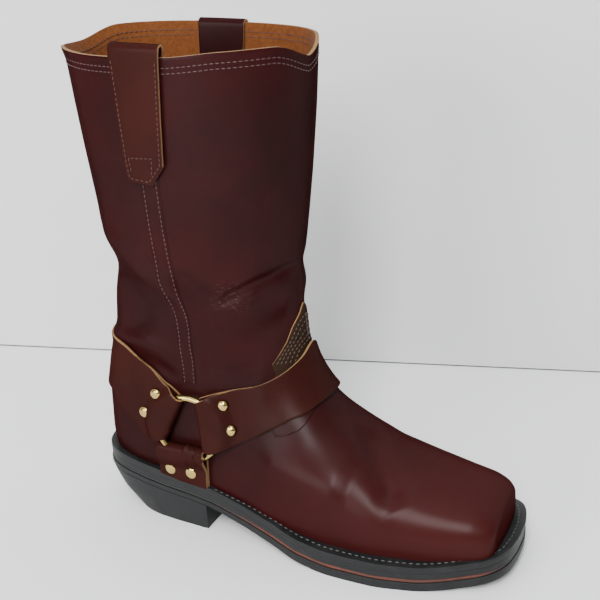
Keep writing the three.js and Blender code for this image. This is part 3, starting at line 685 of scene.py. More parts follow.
def leather(name, light, dark, roughness, coat, grain=0.06, toe_glow=False):
    """Waxed leather with pores, and for the upper a redder toe and flex cracks, lightened partly as a painted
    highlight.
    """
    material, tree, shader, where = new_finish(name)
    broad = noise(tree, where, 16, 3, 0.55)
    patchy = noise(tree, where, 55, 4, 0.6)
    pores = node(tree, "ShaderNodeTexVoronoi", {"Vector": where, "Scale": 1100}).outputs["Distance"]
    fine = noise(tree, where, 650, 3, 0.6)
    base = blend(tree, spread(tree, broad, 0.36, 0.64), dark, light)
    base = blend(tree, spread(tree, patchy, 0.4, 0.75, 0, 0.35), base, light)
    cracks = []
    if toe_glow:
        split = node(tree, "ShaderNodeSeparateXYZ", {0: where})
        fore = spread(tree, split.outputs[0], 0.06, 0.2)
        both = times(tree, fore, spread(tree, split.outputs[2], 0.15, 0.06))
        base = blend(tree, spread(tree, both, 0, 1, 0, 0.75), base, tinted(light, 1.75, 2.2, 1.8))
        base, cracks = flex_cracks_and_highlight(tree, where, base)
    facing = node(tree, "ShaderNodeLayerWeight", {"Blend": 0.5}).outputs["Facing"]
    wire(tree, shader, {
        "Base Color": base,
        "Roughness": spread(tree, patchy, 0.3, 0.7, roughness - 0.05, roughness + 0.07),
        "Specular IOR Level": 0.0,
        "Coat Weight": spread(tree, facing, 0.25, 0.7, coat, coat * 0.12),
        "Coat Roughness": 0.33,
        "Coat IOR": 1.4,
        "Normal": bumps(tree, [
            (broad, 2.2, 0.28), (patchy, 0.5, 0.25), (fine, 0.12, 0.45), (pores, grain, 0.3), *cracks]),
    })
    return material


def raw_leather(name, light, dark, scale=420, depth=0.25, roughness=0.85):
    """Unfinished leather with its nap."""
    material, tree, shader, where = new_finish(name)
    nap = noise(tree, where, scale, 5, 0.65)
    broad = noise(tree, where, 40, 3, 0.6)
    fibre = noise(tree, where, 1500, 3, 0.6)
    base = blend(tree, spread(tree, nap, 0.35, 0.65), dark, light)
    base = blend(tree, spread(tree, broad, 0.4, 0.7, 0, 0.4), base, dark)
    wire(tree, shader, {
        "Base Color": base, "Roughness": roughness, "Sheen Weight": 0.04, "Specular IOR Level": 0.15,
        "Normal": bumps(tree, [(nap, depth, 0.7), (fibre, 0.08, 0.5)])})
    return material


def cut_edge(name, tone):
    """Cut edge of the leather, with painted shade where it looks down."""
    material = raw_leather(name, tone, tinted(tone, 0.45), 900, 0.12)
    tree = material.node_tree
    shader = next(n for n in tree.nodes if n.type == "BSDF_PRINCIPLED")
    light = shader.inputs["Base Color"].links[0].from_socket
    facing = node(tree, "ShaderNodeNewGeometry").outputs["True Normal"]
    way = node(tree, "ShaderNodeSeparateXYZ", {0: facing})
    # Painted shade: faces of the cut edge that point down are blended towards a dark brown.
    under = spread(tree, way.outputs[2], 0.1, -0.35)
    wire(tree, shader, {"Base Color": blend(tree, under, light, tinted(tone, 0.16, 0.11, 0.1))})
    return material


def rubber(name, tone, roughness=0.55, depth=0.12):
    material, tree, shader, where = new_finish(name)
    scuff = noise(tree, where, 90, 5, 0.65)
    speck = noise(tree, where, 900, 3, 0.6)
    worn = tuple(v * 1.9 + 0.004 for v in tone)
    base = blend(tree, spread(tree, scuff, 0.45, 0.75, 0, 0.8), tone, worn)
    wire(tree, shader, {
        "Base Color": base,
        "Roughness": spread(tree, scuff, 0.3, 0.7, roughness - 0.1, roughness + 0.12),
        "Specular IOR Level": 0.3,
        "Normal": bumps(tree, [(scuff, 0.25, 0.3), (speck, depth, 0.4)])})
    return material


def sole_line(name, tone, black):
    """Brick-red layer that is blackened towards the heel and the toe."""
    material, tree, shader, where = new_finish(name)
    split = node(tree, "ShaderNodeSeparateXYZ", {0: where})
    fore = spread(tree, split.outputs[0], 0.035, 0.085)
    toe = spread(tree, split.outputs[0], 0.246, 0.225)
    worn = spread(tree, noise(tree, where, 60, 4, 0.6), 0.3, 0.62, 0.25, 1)
    clean = times(tree, times(tree, fore, toe), worn)
    wire(tree, shader, {"Base Color": blend(tree, clean, black, tone), "Roughness": 0.65})
    return material


def metal(name, tone, roughness=0.17):
    material, tree, shader, where = new_finish(name)
    tarnish = noise(tree, where, 240, 4, 0.6)
    dull = tinted(tone, 0.72, 0.66, 0.55)
    wire(tree, shader, {
        "Base Color": blend(tree, spread(tree, tarnish, 0.4, 0.75, 0, 0.6), tone, dull),
        "Roughness": spread(tree, tarnish, 0.3, 0.7, roughness - 0.06, roughness + 0.1),
        "Metallic": 1.0,
        "Normal": bumps(tree, [(tarnish, 0.05, 0.3)])})
    return material


def thread_finish(name, tone):
    material, tree, shader, where = new_finish(name)
    twist = noise(tree, where, 1800, 2, 0.5)
    wire(tree, shader, {
        "Base Color": blend(tree, spread(tree, twist, 0.35, 0.65), tinted(tone, 0.55), tone),
        "Roughness": 0.5,
        "Normal": bumps(tree, [(twist, 0.08, 0.5)])})
    return material


FINISHES = {}


def finish(name):
    """A finish by name, made on first use from the scene's colours."""
    if name not in FINISHES:
        tones = bpy.context.scene.boot_colours
        recipes = {
            "upper": (leather, tones.upper, tones.upper_dark, 0.42, 0.22, 0.06, True),
            "harness": (leather, tones.harness, tones.harness_dark, 0.5, 0.14),
            "raw_edge": (cut_edge, tones.raw_edge),
            "patch": (leather, tones.patch, tinted(tones.patch, 0.55), 0.6, 0.08, 0.2),
            "suede": (raw_leather, tones.suede, tones.suede_dark),
            "insole": (raw_leather, tones.insole, tinted(tones.insole, 0.6), 260, 0.1, 0.6),
            "rubber": (rubber, tones.rubber),
            "line": (sole_line, tones.line, tones.rubber),
            "brass": (metal, tones.brass),
            "thread": (thread_finish, tones.thread),
            "strap_thread": (thread_finish, tinted(tones.harness, 1.9)),
            "patch_thread": (thread_finish, tinted(tones.patch, 2.2)),
            "welt_thread": (thread_finish, tones.welt_thread),
        }
        make, *values = recipes[name]
        FINISHES[name] = make(name, *values)
    return FINISHES[name]


# Upper
def upper_angles(rows):
    """Angles round each row, evenly spaced along the leather in each quarter."""
    ease = 0.5 - 0.5 * np.cos(np.linspace(0, math.pi, 500))
    found = []
    for quarter in range(4):
        dense = (quarter + ease) * math.pi / 2
        dense[0] += 1e-7
        dense[-1] -= 1e-7
        points = last_point(rows[:, None], dense[None, :])
        steps = np.linalg.norm(np.diff(points, axis=1), axis=-1)
        along = np.concatenate([np.zeros((len(rows), 1)), np.cumsum(steps, axis=1)], axis=1)
        shares = np.arange(UPPER_PER_QUARTER) / UPPER_PER_QUARTER
        found.append(np.stack([np.interp(shares * a[-1], a, dense) for a in along]))
    return np.concatenate(found, axis=1)


def upper_rows():
    """Rows from the toe to the collar, evenly spaced along the leather."""
    steps = 0
    for angle in (0.0, 1.2, math.pi, -1.2):
        points = last_point(MIDDLE_ROWS, np.full(len(MIDDLE_ROWS), angle))
        steps = steps + np.linalg.norm(np.diff(points, axis=0), axis=1)
    along = np.concatenate([[0], np.cumsum(steps)])
    return np.interp(np.linspace(0, along[-1], UPPER_ROWS), along, MIDDLE_ROWS)


def collar_curl(points, angle, reach):
    """Way out of the collar's edge round the back."""
    below = np.maximum(0, last_point(np.full(angle.shape, float(COLLAR)), angle)[..., 2] - points[..., 2])
    back = np.exp(-((np.abs(np.mod(angle, TURN) - math.pi) / 0.75) ** 2))
    return reach * back * np.exp(-((below / 5.5) ** 2))


def make_upper(curl):
    rows = upper_rows()
    angles = upper_angles(rows)
    rows_2d = np.repeat(rows[:, None], angles.shape[1], axis=1)
    base = last_point(rows_2d, angles)
    out = last_normal(rows_2d, angles)
    flat_out = unit(out * np.array([1, 1, 0]))
    points = base + out * relief(base)[..., None] + flat_out * collar_curl(base, angles, curl)[..., None]
    toe = points[0]
    centre = toe.mean(axis=0)
    caps = []
    for share in (0.3, 0.55, 0.75, 0.9):
        ring = centre + (toe - centre) * share
        ring[:, 0] = centre[0] + 1.2 * (1 - share ** 2)
        caps.append(ring)
    points = np.concatenate([caps, points])
    cols = points.shape[1]
    flat = np.concatenate([points.reshape(-1, 3), [centre + [1.2, 0, 0]]])
    faces = lattice(len(points), cols, wrap=True)
    faces += [(len(flat) - 1, j, (j + 1) % cols) for j in range(cols)]
    floor = sole_top(flat[:, 0]) - 0.9
    high = flat[:, 2] > floor
    faces = [face for face in faces if any(high[v] for v in face)]
    used = sorted({v for face in faces for v in face})
    renumber = {v: i for i, v in enumerate(used)}
    flat[:, 2] = np.maximum(flat[:, 2], floor)
    piece = build(
        "upper_leather", flat[used], [tuple(renumber[v] for v in face) for face in faces],
        [finish("upper"), finish("suede"), finish("raw_edge")])
    return place(thicken(piece, WALL, 0.3, -1.0, rim=2, inner=1), "upper_leather", "upper")


# Harness
def smoothstep(value, low, high):
    t = np.clip((value - low) / (high - low), 0, 1)
    return t * t * (3 - 2 * t)


def over_ring(points, start, end):
    """Share of the ring's height that the leather still has, outwards from the ring."""
    away = np.hypot(points[..., 0] - RING_X, points[..., 2] - RING_Z) - RING_RADIUS
    return 1 - smoothstep(away, start, end)


def strap_lift(points, away, strap, climbs):
    """Height of a strap's outer layer, at its middle, at distances from its fold's edge."""
    cover = np.maximum(1 - smoothstep(away, 4, 18), over_ring(points, 3.2, 12))
    double = 1 - smoothstep(away, DOUBLE * FEATHER, DOUBLE)
    height = GAP + strap / 2 + double * strap + cover * (RING_WIRE + 2 * GAP)
    if climbs:
        low, high = (share * INSTEP_HEIGHT for share in PATCH_CLIMB)
        height = height + (PATCH_THICK + GAP) * smoothstep(points[..., 0], low, high)
    for x, z in STRAP_RIVETS:
        spot = np.hypot(
            points[..., 0] - RING_X - x * RING_RADIUS, points[..., 2] - RING_Z - z * RING_RADIUS)
        height = height - 0.45 * np.exp(-((spot / 5.5) ** 2))
    return height


def distance_in(points):
    """Distance along each line of a grid from its first station."""
    steps = np.linalg.norm(np.diff(points, axis=0), axis=-1)
    return np.concatenate([np.zeros((1, points.shape[1])), np.cumsum(steps, axis=0)])


def over_ridge(edge, middle):
    """A strap edge from the lateral fold over the boot's middle line to the medial fold."""
    lateral = find_all(edge, LATERAL, INSTEP_HEIGHT)
    medial = find_all(edge, MEDIAL, INSTEP_HEIGHT)[::-1]
    if middle == "front":
        return smooth_path([*lateral[:-1], [middle_row(RIDGE, edge[-1]), 0.0], *medial[1:]])
    medial[:, 1] += TURN
    return smooth_path([*lateral, [middle_row(SPINE, edge[-1]), math.pi], *medial])


def fold_round(chord_row, next_row, normals, strap):
    """Stations of the fold that wraps the ring, from the top layer to the under layer."""
    sleeve = RING_WIRE / 2 + GAP + strap
    radius = sleeve - strap / 2
    to_window = unit(chord_row - next_row)
    to_window = unit(to_window - normals * np.sum(to_window * normals, axis=1, keepdims=True))
    centre = chord_row - to_window * sleeve + normals * (GAP + sleeve)
    stations = []
    for turn in np.linspace(math.pi / 2, -math.pi / 2, 13):
        stations.append(centre + normals * radius * math.sin(turn) + to_window * radius * math.cos(turn))
    return stations


def straight_across(grid, full, faded):
    """Make a strap's stations straight in the side view near its start."""
    count = len(grid)
    share = np.linspace(0, 1, grid.shape[1])[None, :, None]
    flat = last_point(grid[..., 0], grid[..., 1])[..., [0, 2]]
    line = flat[:, :1] * (1 - share) + flat[:, -1:] * share
    weight = (1 - smoothstep(np.arange(count), full, faded))[:, None, None]
    target = flat + weight * (line - flat)
    rows, angles = grid[:faded, :, 0], grid[:faded, :, 1]
    for _ in range(8):
        rows, angles = side_step(rows, angles, target[:faded, :, 0], target[:faded, :, 1], 0.3, 0.15)
    return np.concatenate([np.stack([rows, angles], axis=-1), grid[faded:]])


def folded_end(grid, strap, reach):
    """The fold and the under layer at the start of a strap, under layer's end first."""
    row, angle = grid[..., 0], grid[..., 1]
    chord = skin(row[0], angle[0], 0.0, BRIDGE)
    normals = last_normal(row[0], angle[0])
    stations = fold_round(chord, skin(row[2], angle[2], 0.0, BRIDGE), normals, strap)
    away = distance_in(last_point(row, angle)).min(axis=1)
    sleeve = RING_WIRE / 2 + GAP + strap
    under = [i for i in range(len(grid)) if sleeve < away[i] < reach]
    for i in under:
        stations.append(skin(row[i], angle[i], GAP + strap / 2, BRIDGE))
    return stations[::-1], int(np.argmax(away > sleeve))


STRAP_TOPS = []


def top_height(x, z, side):
    """Height of the strap's outer face over the upper at a place seen from one side."""
    best, height = 1e9, 0.0
    for base, lift in STRAP_TOPS:
        away = np.hypot(base[..., 0] - x, base[..., 2] - z) + 1e3 * (base[..., 1] * side < 0)
        i = np.unravel_index(np.argmin(away), away.shape)
        if away[i] < best:
            best, height = away[i], lift[i]
    return height


def make_strap(name, top, bottom, middle, strap, node_name):
    edges = [even(over_ridge(edge, middle), STRAP_STATIONS, on_last) for edge in (bottom, top)]
    grid = between(*edges, STRAP_ACROSS)
    grid = straight_across(grid, 20, 45)
    grid = straight_across(grid[::-1], 20, 45)[::-1]
    base = last_point(grid[..., 0], grid[..., 1])
    away = distance_in(base)
    lift = strap_lift(base, np.minimum(away, away[-1:] - away), strap, middle == "front")
    surface = skin(grid[..., 0], grid[..., 1], lift, BRIDGE)
    STRAP_TOPS.append((base, lift + strap / 2))
    start, first = folded_end(grid, strap, DOUBLE + 9)
    end, last = folded_end(grid[::-1], strap, DOUBLE + 9)
    stations = start + list(surface[first:len(surface) - last]) + end[::-1]
    faces = lattice(len(stations), STRAP_ACROSS, flip=middle == "front")
    piece = build(name, stations, faces, [finish("harness"), finish("raw_edge")])
    return place(thicken(piece, strap, 0.45), "harness_leather", node_name)


def make_tab(side_name, strap):
    side = SIDES[side_name]
    rear, fore = (np.linspace(*edge, TAB_STATIONS) for edge in (TAB_REAR, TAB_FORE))
    flat = between(rear, fore, STRAP_ACROSS) * INSTEP_HEIGHT
    grid = find_all(flat.reshape(-1, 2), side).reshape(flat.shape)
    base = last_point(grid[..., 0], grid[..., 1])
    cover = 1 - smoothstep(distance_in(base), 9, 21)
    lift = GAP + strap * 1.5 + cover * (RING_WIRE + 2 * GAP)
    surface = skin(grid[..., 0], grid[..., 1], lift, BRIDGE)
    STRAP_TOPS.append((base, lift + strap / 2))
    start, first = folded_end(grid, strap, 60)
    stations = start + list(surface[first:])
    faces = lattice(len(stations), STRAP_ACROSS, flip=side == LATERAL)
    piece = build(f"tab_{side_name}", stations, faces, [finish("harness"), finish("raw_edge")])
    return place(thicken(piece, strap, 0.45), "harness_leather", f"ring_tab_{side_name}")


def ring_frame(side_name):
    """Centre and axes of a ring, read from its CAD node."""
    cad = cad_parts[f"ring_{side_name}"]
    points = np.array([cad.matrix_world @ v.co for v in cad.data.vertices]) / MM
    centre = (points.max(axis=0) + points.min(axis=0)) / 2
    spread_out = points - points.mean(axis=0)
    axes = np.linalg.svd(spread_out, full_matrices=False)[2]
    out = axes[2] * np.sign(axes[2][1] * SIDES[side_name])
    across = unit(np.cross(out, [0, 0, 1]))
    return points.mean(axis=0) * 0.5 + centre * 0.5, across, np.cross(across, out) * -1, out


def make_ring(side_name):
    centre, across, up, out = ring_frame(side_name)
    major = np.linspace(0, TURN, RING_STEPS, endpoint=False)[:, None, None]
    minor = np.linspace(0, TURN, WIRE_STEPS, endpoint=False)[None, :, None]
    spoke = np.cos(major) * across + np.sin(major) * up
    reach = RING_RADIUS + RING_WIRE / 2 * np.cos(minor)
    points = centre + spoke * reach + out * RING_WIRE / 2 * np.sin(minor)
    faces = lattice(RING_STEPS, WIRE_STEPS, wrap=True)
    last = (RING_STEPS - 1) * WIRE_STEPS
    faces += [(last + j, j, (j + 1) % WIRE_STEPS, last + (j + 1) % WIRE_STEPS) for j in range(WIRE_STEPS)]
    piece = build(f"brass_ring_{side_name}", points, faces, [finish("brass")])
    recalculate(piece)
    return place(piece, "brass", f"ring_{side_name}")


# Repeated small parts by geometry nodes
def scatter_tree(name, shape):
    """Node group that sets a shape on every point, turned to the point's along and out."""
    tree = bpy.data.node_groups.new(name, "GeometryNodeTree")
    ports = tree.interface
    ports.new_socket("Geometry", in_out="INPUT", socket_type="NodeSocketGeometry")
    sizes = {}
    for key, value in (("Length", 2.3 * MM), ("Thickness", 0.55 * MM)):
        socket = ports.new_socket(key, in_out="INPUT", socket_type="NodeSocketFloat")
        socket.default_value = value
        sizes[key] = socket
    ports.new_socket("Head", in_out="INPUT", socket_type="NodeSocketObject")
    ports.new_socket("Finish", in_out="INPUT", socket_type="NodeSocketMaterial")
    ports.new_socket("Geometry", in_out="OUTPUT", socket_type="NodeSocketGeometry")
    source = tree.nodes.new("NodeGroupInput")
    target = tree.nodes.new("NodeGroupOutput")
    along = node(tree, "GeometryNodeInputNamedAttribute", {"Name": "along"}, data_type="FLOAT_VECTOR")
    out = node(tree, "GeometryNodeInputNamedAttribute", {"Name": "out"}, data_type="FLOAT_VECTOR")
    turn = node(tree, "FunctionNodeAxesToRotation", {
        0: out.outputs[0], 1: along.outputs[0]}, primary_axis="Z", secondary_axis="X")
    if shape == "thread":
        ball = node(tree, "GeometryNodeMeshUVSphere", {"Segments": 6, "Rings": 6, "Radius": 0.5})
        size = node(tree, "ShaderNodeCombineXYZ", {
            0: source.outputs["Length"], 1: source.outputs["Thickness"], 2: source.outputs["Thickness"]})
        unit_shape = node(tree, "GeometryNodeTransform", {
            "Geometry": ball.outputs[0], "Scale": size.outputs[0]})
    else:
        unit_shape = node(tree, "GeometryNodeObjectInfo", {"Object": source.outputs["Head"]})
    seed = unit_shape.outputs["Geometry"]
    points = node(tree, "GeometryNodeMeshToPoints", {"Mesh": source.outputs["Geometry"]})
    spots = node(tree, "GeometryNodeInstanceOnPoints", {
        "Points": points.outputs[0], "Instance": seed, "Rotation": turn.outputs[0]})
    whole = node(tree, "GeometryNodeRealizeInstances", {0: spots.outputs[0]})
    smooth = node(tree, "GeometryNodeSetShadeSmooth", {0: whole.outputs[0]})
    painted = node(tree, "GeometryNodeSetMaterial", {
        "Geometry": smooth.outputs[0], "Material": source.outputs["Finish"]})
    tree.links.new(painted.outputs[0], target.inputs[0])
    return tree


def scatter(name, points, along, out, shape, material, length=None, thickness=None, head=None):
    """One piece of many small shapes, set by geometry nodes and made plain."""
    piece = build(name, points, [], [material])
    for key, values in (("along", along), ("out", out)):
        attribute = piece.data.attributes.new(key, "FLOAT_VECTOR", "POINT")
        attribute.data.foreach_set("vector", np.asarray(values, float).ravel())
    tree = scatter_tree(f"{name}_nodes", shape)
    modifier = piece.modifiers.new("repeat", "NODES")
    modifier.node_group = tree
    wanted = {"Length": length, "Thickness": thickness, "Head": head, "Finish": material}
    for item in tree.interface.items_tree:
        if item.in_out == "INPUT" and wanted.get(item.name) is not None:
            modifier[item.identifier] = wanted[item.name]
    return settle(piece)


def stitch_points(path, lift, pitch):
    """Points, directions and ways out of stitches along a path of rows and angles."""
    points = skin(path[:, 0], path[:, 1], lift)
    along = walked(points)
    count = max(2, int(along[-1] / pitch))
    wanted = (np.arange(count) + 0.5) * along[-1] / count
    row, angle = sample(wanted, along, path).T
    ahead = sample(wanted + 0.4, along, points) - sample(wanted - 0.4, along, points)
    out = last_normal(row, angle)
    return skin(row, angle, lift), unit(ahead), out if lift > 0 else -out


def below_collar(depth):
    """Path round the shaft at a depth below the collar's edge."""
    angles = np.linspace(0, TURN, 600)
    rows = np.linspace(COLLAR - 2, COLLAR, 300)
    found = []
    for angle in angles:
        line = last_point(rows, np.full(len(rows), angle))
        found.append(np.interp(line[-1, 2] - depth, line[:, 2], rows))
    return np.stack([np.array(found), angles], axis=1)


def strip_path(share, side):
    """Path along a seam strip, at a share of its half width from its middle."""
    rows = steady(SEAM_STRIP)(np.linspace(0, len(SEAM_STRIP) - 1, 24))
    return smooth_path(find_all([[x + share * half, up] for up, x, half in rows], side, INSTEP_HEIGHT))


def make_seam_strip(side_name):
    side = SIDES[side_name]
    rear, fore = (even(strip_path(share, side), STRIP_STATIONS, on_last) for share in (-1, 1))
    grid = between(rear, fore, STRIP_ACROSS)
    bow = 1 - np.abs(np.linspace(-1, 1, STRIP_ACROSS)) ** 3
    points = skin(grid[..., 0], grid[..., 1], STRIP_LIFT * bow)
    faces = lattice(STRIP_STATIONS, STRIP_ACROSS, flip=side == MEDIAL)
    piece = build(f"seam_strip_{side_name}", points, faces, [finish("upper"), finish("upper")])
    return place(thicken(piece, 0.5, 0.15), "upper_leather", f"side_seam_{side_name}")


def patch_edges():
    """Lateral and medial edge of the patch, each from its tip to its end on the ridge."""
    tip = [middle_row(RIDGE, PATCH_EDGE[0]), 0.02]
    end = [middle_row(RIDGE, PATCH_END), 0.02]
    lateral = find_all(PATCH_EDGE[1:], LATERAL, INSTEP_HEIGHT)
    medial = find_all(PATCH_EDGE[1:], MEDIAL, INSTEP_HEIGHT)
    mirror = np.array([1, -1])
    return np.array([tip, *lateral, end]), np.array([tip * mirror, *medial, end * mirror])


def make_patch():
    edges = patch_edges()
    index = np.arange(len(edges[0]))
    t = np.linspace(0, index[-1], PATCH_STATIONS)
    grid = between(*(sample(t, index, edge) for edge in edges), PATCH_ACROSS)
    points = skin(grid[..., 0], grid[..., 1], PATCH_LIFT)
    faces = lattice(PATCH_STATIONS, PATCH_ACROSS)
    finishes = [finish("patch"), finish("raw_edge"), finish("upper")]
    piece = build("instep_patch_leather", points, faces, finishes)
    recalculate_outwards(piece)
    for polygon in piece.data.polygons:
        if polygon.center.z < PATCH_UNDER_STRAP * MM:
            polygon.material_index = 2
    return place(thicken(piece, 1.0, 0.3), "upper_leather", "instep_patch")


def recalculate_outwards(piece):
    """Turn an open sheet's faces so that they look away from the boot's middle."""
    mesh = piece.data
    total = Vector((0, 0, 0))
    for polygon in mesh.polygons:
        total += polygon.normal * polygon.area
    centre = sum((v.co for v in mesh.vertices), Vector()) / len(mesh.vertices)
    inside = Vector((centre.x - 0.06, 0.0, centre.z - 0.06))
    if total.dot(centre - inside) < 0:
        mesh.flip_normals()


# Pull straps
def pull_grid(side):
    """Middle surface of a pull strap from its outside tip over the collar to its inside end."""
    shares = np.concatenate([np.linspace(0, 0.16, 8)[:-1], np.linspace(0.16, 1, 44)])
    corners = np.array([PULL_TIP, PULL_CORNER, PULL_HEAD], float).reshape(3, 4)
    outside = sample(shares, [0.0, 0.16, 1.0], corners).reshape(-1, 2, 2)
    inside = np.linspace(PULL_HEAD, PULL_TAIL, 34)
    under = GAP + STRIP_THICK + GAP + PULL_THICK / 2
    within = -WALL - GAP - PULL_THICK / 2

    def level(ends, lift):
        row_points = []
        for x, z in np.linspace(*ends, PULL_ACROSS):
            row, angle = find(x, min(z, COLLAR_TOP), side)
            base = skin(row, angle)
            base[2] += max(0.0, z - base[2])
            row_points.append(base + last_normal(row, angle) * lift)
        return np.array(row_points)

    out_top = level(np.array(PULL_HEAD), under)
    in_top = level(np.array(PULL_HEAD), within)
    radius = PULL_TOP - PULL_THICK / 2 - PULL_HEAD[0][1]
    loop = []
    for turn in np.linspace(0, math.pi, 12)[1:-1]:
        mixed = out_top * (1 + math.cos(turn)) / 2 + in_top * (1 - math.cos(turn)) / 2
        mixed[:, 2] += radius * math.sin(turn)
        loop.append(mixed)
    return [level(e, under) for e in outside] + loop + [level(e, within) for e in inside]


def make_pull(side_name):
    side = SIDES[side_name]
    stations = pull_grid(side)
    faces = lattice(len(stations), PULL_ACROSS, flip=side == MEDIAL)
    face = finish("upper" if side == MEDIAL else "harness")
    piece = build(f"pull_{side_name}", stations, faces, [face, finish("raw_edge")])
    return place(thicken(piece, PULL_THICK, 0.4), "harness_leather", f"pull_strap_{side_name}")


# Sole
feather_row = steady(FEATHERLINE)


def outline(extra, stand, count):
    """x, lateral and medial width of the sole's edge, a distance outside the featherline."""
    last = len(FEATHERLINE) - 1
    u = np.linspace(0, last, count)

    def middle(at):
        row = feather_row(np.clip(at, 0, last))
        return np.stack([sole_x(row[:, 0]), (row[:, 1] + row[:, 2]) * BALL_WIDTH / 2], axis=1)

    row = feather_row(u)
    along = unit(middle(u + 0.2) - middle(u - 0.2))
    distance = extra + (row[:, 3] * WELT_STAND if stand else 0)
    x = sole_x(row[:, 0]) - along[:, 1] * distance
    return x, row[:, 1] * BALL_WIDTH + along[:, 0] * distance, row[:, 2] * BALL_WIDTH + along[:, 0] * distance


def plate(name, extra, stand, bottom, top, material, edge):
    """A closed layer of the sole between two heights."""
    count, across = PLATE_STATIONS, PLATE_ACROSS
    x, lateral, medial = outline(extra, stand, count)
    share = np.linspace(-1, 1, across)[None, :]
    y = np.where(share < 0, share * lateral[:, None], share * medial[:, None])
    upper_face, lower_face = (
        np.stack(np.broadcast_arrays(x[:, None], y, z[:, None]), axis=-1) for z in (top(x), bottom(x)))
    total = count * across
    points = np.concatenate([upper_face.reshape(-1, 3), lower_face.reshape(-1, 3)])
    faces = lattice(count, across)
    faces = faces + [tuple(total + v for v in face[::-1]) for face in faces]
    border = [i * across for i in range(count)]
    border += [(count - 1) * across + j for j in range(1, across)]
    border += [i * across + across - 1 for i in range(count - 2, -1, -1)]
    border += list(range(across - 2, 0, -1))
    for a, b in zip(border, border[1:] + border[:1]):
        faces.append((b, a, total + a, total + b))
    piece = build(name, points, faces, [material])
    recalculate(piece)
    round_edges(piece, edge, 3, 60)
    return settle(piece)


def make_sole():
    black, board = finish("rubber"), finish("insole")
    layers = [
        ("outsole_rubber", 0, True, underside, lambda x: line_bottom(x) - GAP, black, 0.8,
         "sole_rubber", "outsole"),
        ("sole_line_layer", -LINE_INSET, True, line_bottom, lambda x: line_bottom(x) + SOLE_LINE_THICK,
         finish("line"), 0.3, "sole_line", "sole_line"),
        ("midsole_layer", -MIDSOLE_INSET, True, midsole_bottom, lambda x: midsole_bottom(x) + MIDSOLE_THICK,
         black, 0.8, "sole_rubber", "midsole"),
        ("welt_strip", 0, True, welt_bottom, sole_top, black, 1.1, "sole_rubber", "welt"),
        ("insole_board", -INSOLE_INSET, False, lambda x: sole_top(x) + 0.05,
         lambda x: sole_top(x) + INSOLE_THICK, board, 0.6, "insole_leather", "insole"),
    ]
    for *shape, slot, node_name in layers:
        place(plate(*shape), slot, node_name)


def make_heel():
    x, lateral, medial = outline(0, True, 260)
    keep = x < HEEL_BREAST
    edge = [np.interp(HEEL_BREAST, x, values) for values in (lateral, medial)]
    x, lateral, medial = (values[keep] for values in (x, lateral, medial))
    x = np.append(x, HEEL_BREAST)
    lateral, medial = np.append(lateral, edge[0]), np.append(medial, edge[1])
    top = underside(x) - GAP
    seat = HEEL_BREAST - x[0]
    downs = np.linspace(0, 1, HEEL_LEVELS)
    knee = np.interp(downs, [0, 1 - HEEL_KNEE_UP, 1], [0, HEEL_KNEE_RAKE, 1])
    bow = steady([0, 0.1, HEEL_KNEE_RAKE * 0.75, 0.66, 1])(4 * downs)[:, 0]
    rake = 0.55 * knee + 0.45 * bow
    rings = []
    for down, share in zip(downs, rake):
        place_x = HEEL_BREAST - (HEEL_BREAST - x) * (seat - share * HEEL_RAKE) / seat
        taper = down * HEEL_TAPER
        left = -(lateral - taper * np.minimum(1, lateral / 20))
        right = medial - taper * np.minimum(1, medial / 20)
        z = top * (1 - down)
        ring = [[a, b, c] for a, b, c in zip(place_x, left, z)]
        breast = np.linspace(left[-1], right[-1], 16)[1:-1]
        ring += [[place_x[-1], b, z[-1]] for b in breast]
        ring += [[a, b, c] for a, b, c in zip(place_x[::-1], right[::-1], z[::-1])]
        ring += [[place_x[0], b, z[0]] for b in np.linspace(right[0], left[0], 5)[1:-1]]
        rings.append(ring)
    rings = np.array(rings)
    cols = rings.shape[1]
    faces = lattice(len(rings), cols, wrap=True)
    faces.append(tuple(range(cols)))
    faces.append(tuple(range((len(rings) - 1) * cols, len(rings) * cols))[::-1])
    piece = build("heel_block", rings, faces, [finish("rubber")])
    recalculate(piece)
    round_edges(piece, 0.9, 3, 55)
    return place(settle(piece), "sole_rubber", "heel")


# Rivets and stitches
def lathe_head(name, width, rise):
    """A rivet head round its own Z, sitting on its leather at zero."""
    radius = width / 2
    profile = [(1.0, -0.3), (1.0, 0.12), (0.95, 0.34), (0.82, 0.6), (0.6, 0.84), (0.32, 0.97), (0.0, 1.0)]
    around = HEAD_STEPS
    points = []
    for share, up in profile[:-1]:
        for k in range(around):
            turn = TURN * k / around
            points.append((radius * share * math.cos(turn), radius * share * math.sin(turn), rise * up))
    points.append((0, 0, rise))
    faces = lattice(len(profile) - 1, around, wrap=True, flip=True)
    last = (len(profile) - 2) * around
    faces += [(last + k, last + (k + 1) % around, len(points) - 1) for k in range(around)]
    faces.append(tuple(range(around))[::-1])
    head = build(name, points, faces, [finish("brass")])
    recalculate(head)
    return head


def make_rivets(name, spots, width, rise, nodes):
    places, outs = [], []
    for side in SIDES.values():
        for share_x, share_z in spots:
            x, z = RING_X + share_x * RING_RADIUS, RING_Z + share_z * RING_RADIUS
            row, angle = find(x, z, side)
            places.append(skin(row, angle, top_height(x, z, side), BRIDGE))
            outs.append(last_normal(row, angle))
    outs = np.array(outs)
    along = unit(np.cross(outs, [0, 0, 1.0]))
    head = lathe_head(f"{name}_head", width / MM, rise / MM)
    piece = scatter(name, places, along, outs, "head", finish("brass"), head=head)
    bpy.data.objects.remove(head)
    return place(piece, "brass", *nodes)


def sew(name, runs, sizes, material="thread", slot="upper_leather", length=None, pitch=None):
    """One piece of all the stitches along its runs."""
    parts = [stitch_points(path, lift, (pitch or sizes.pitch) / MM) for path, lift in runs]
    points, along, out = (np.concatenate(column) for column in zip(*parts))
    piece = scatter(
        name, points, along, out, "thread", finish(material),
        length=length or sizes.stitch, thickness=sizes.thread)
    return place(piece, slot)


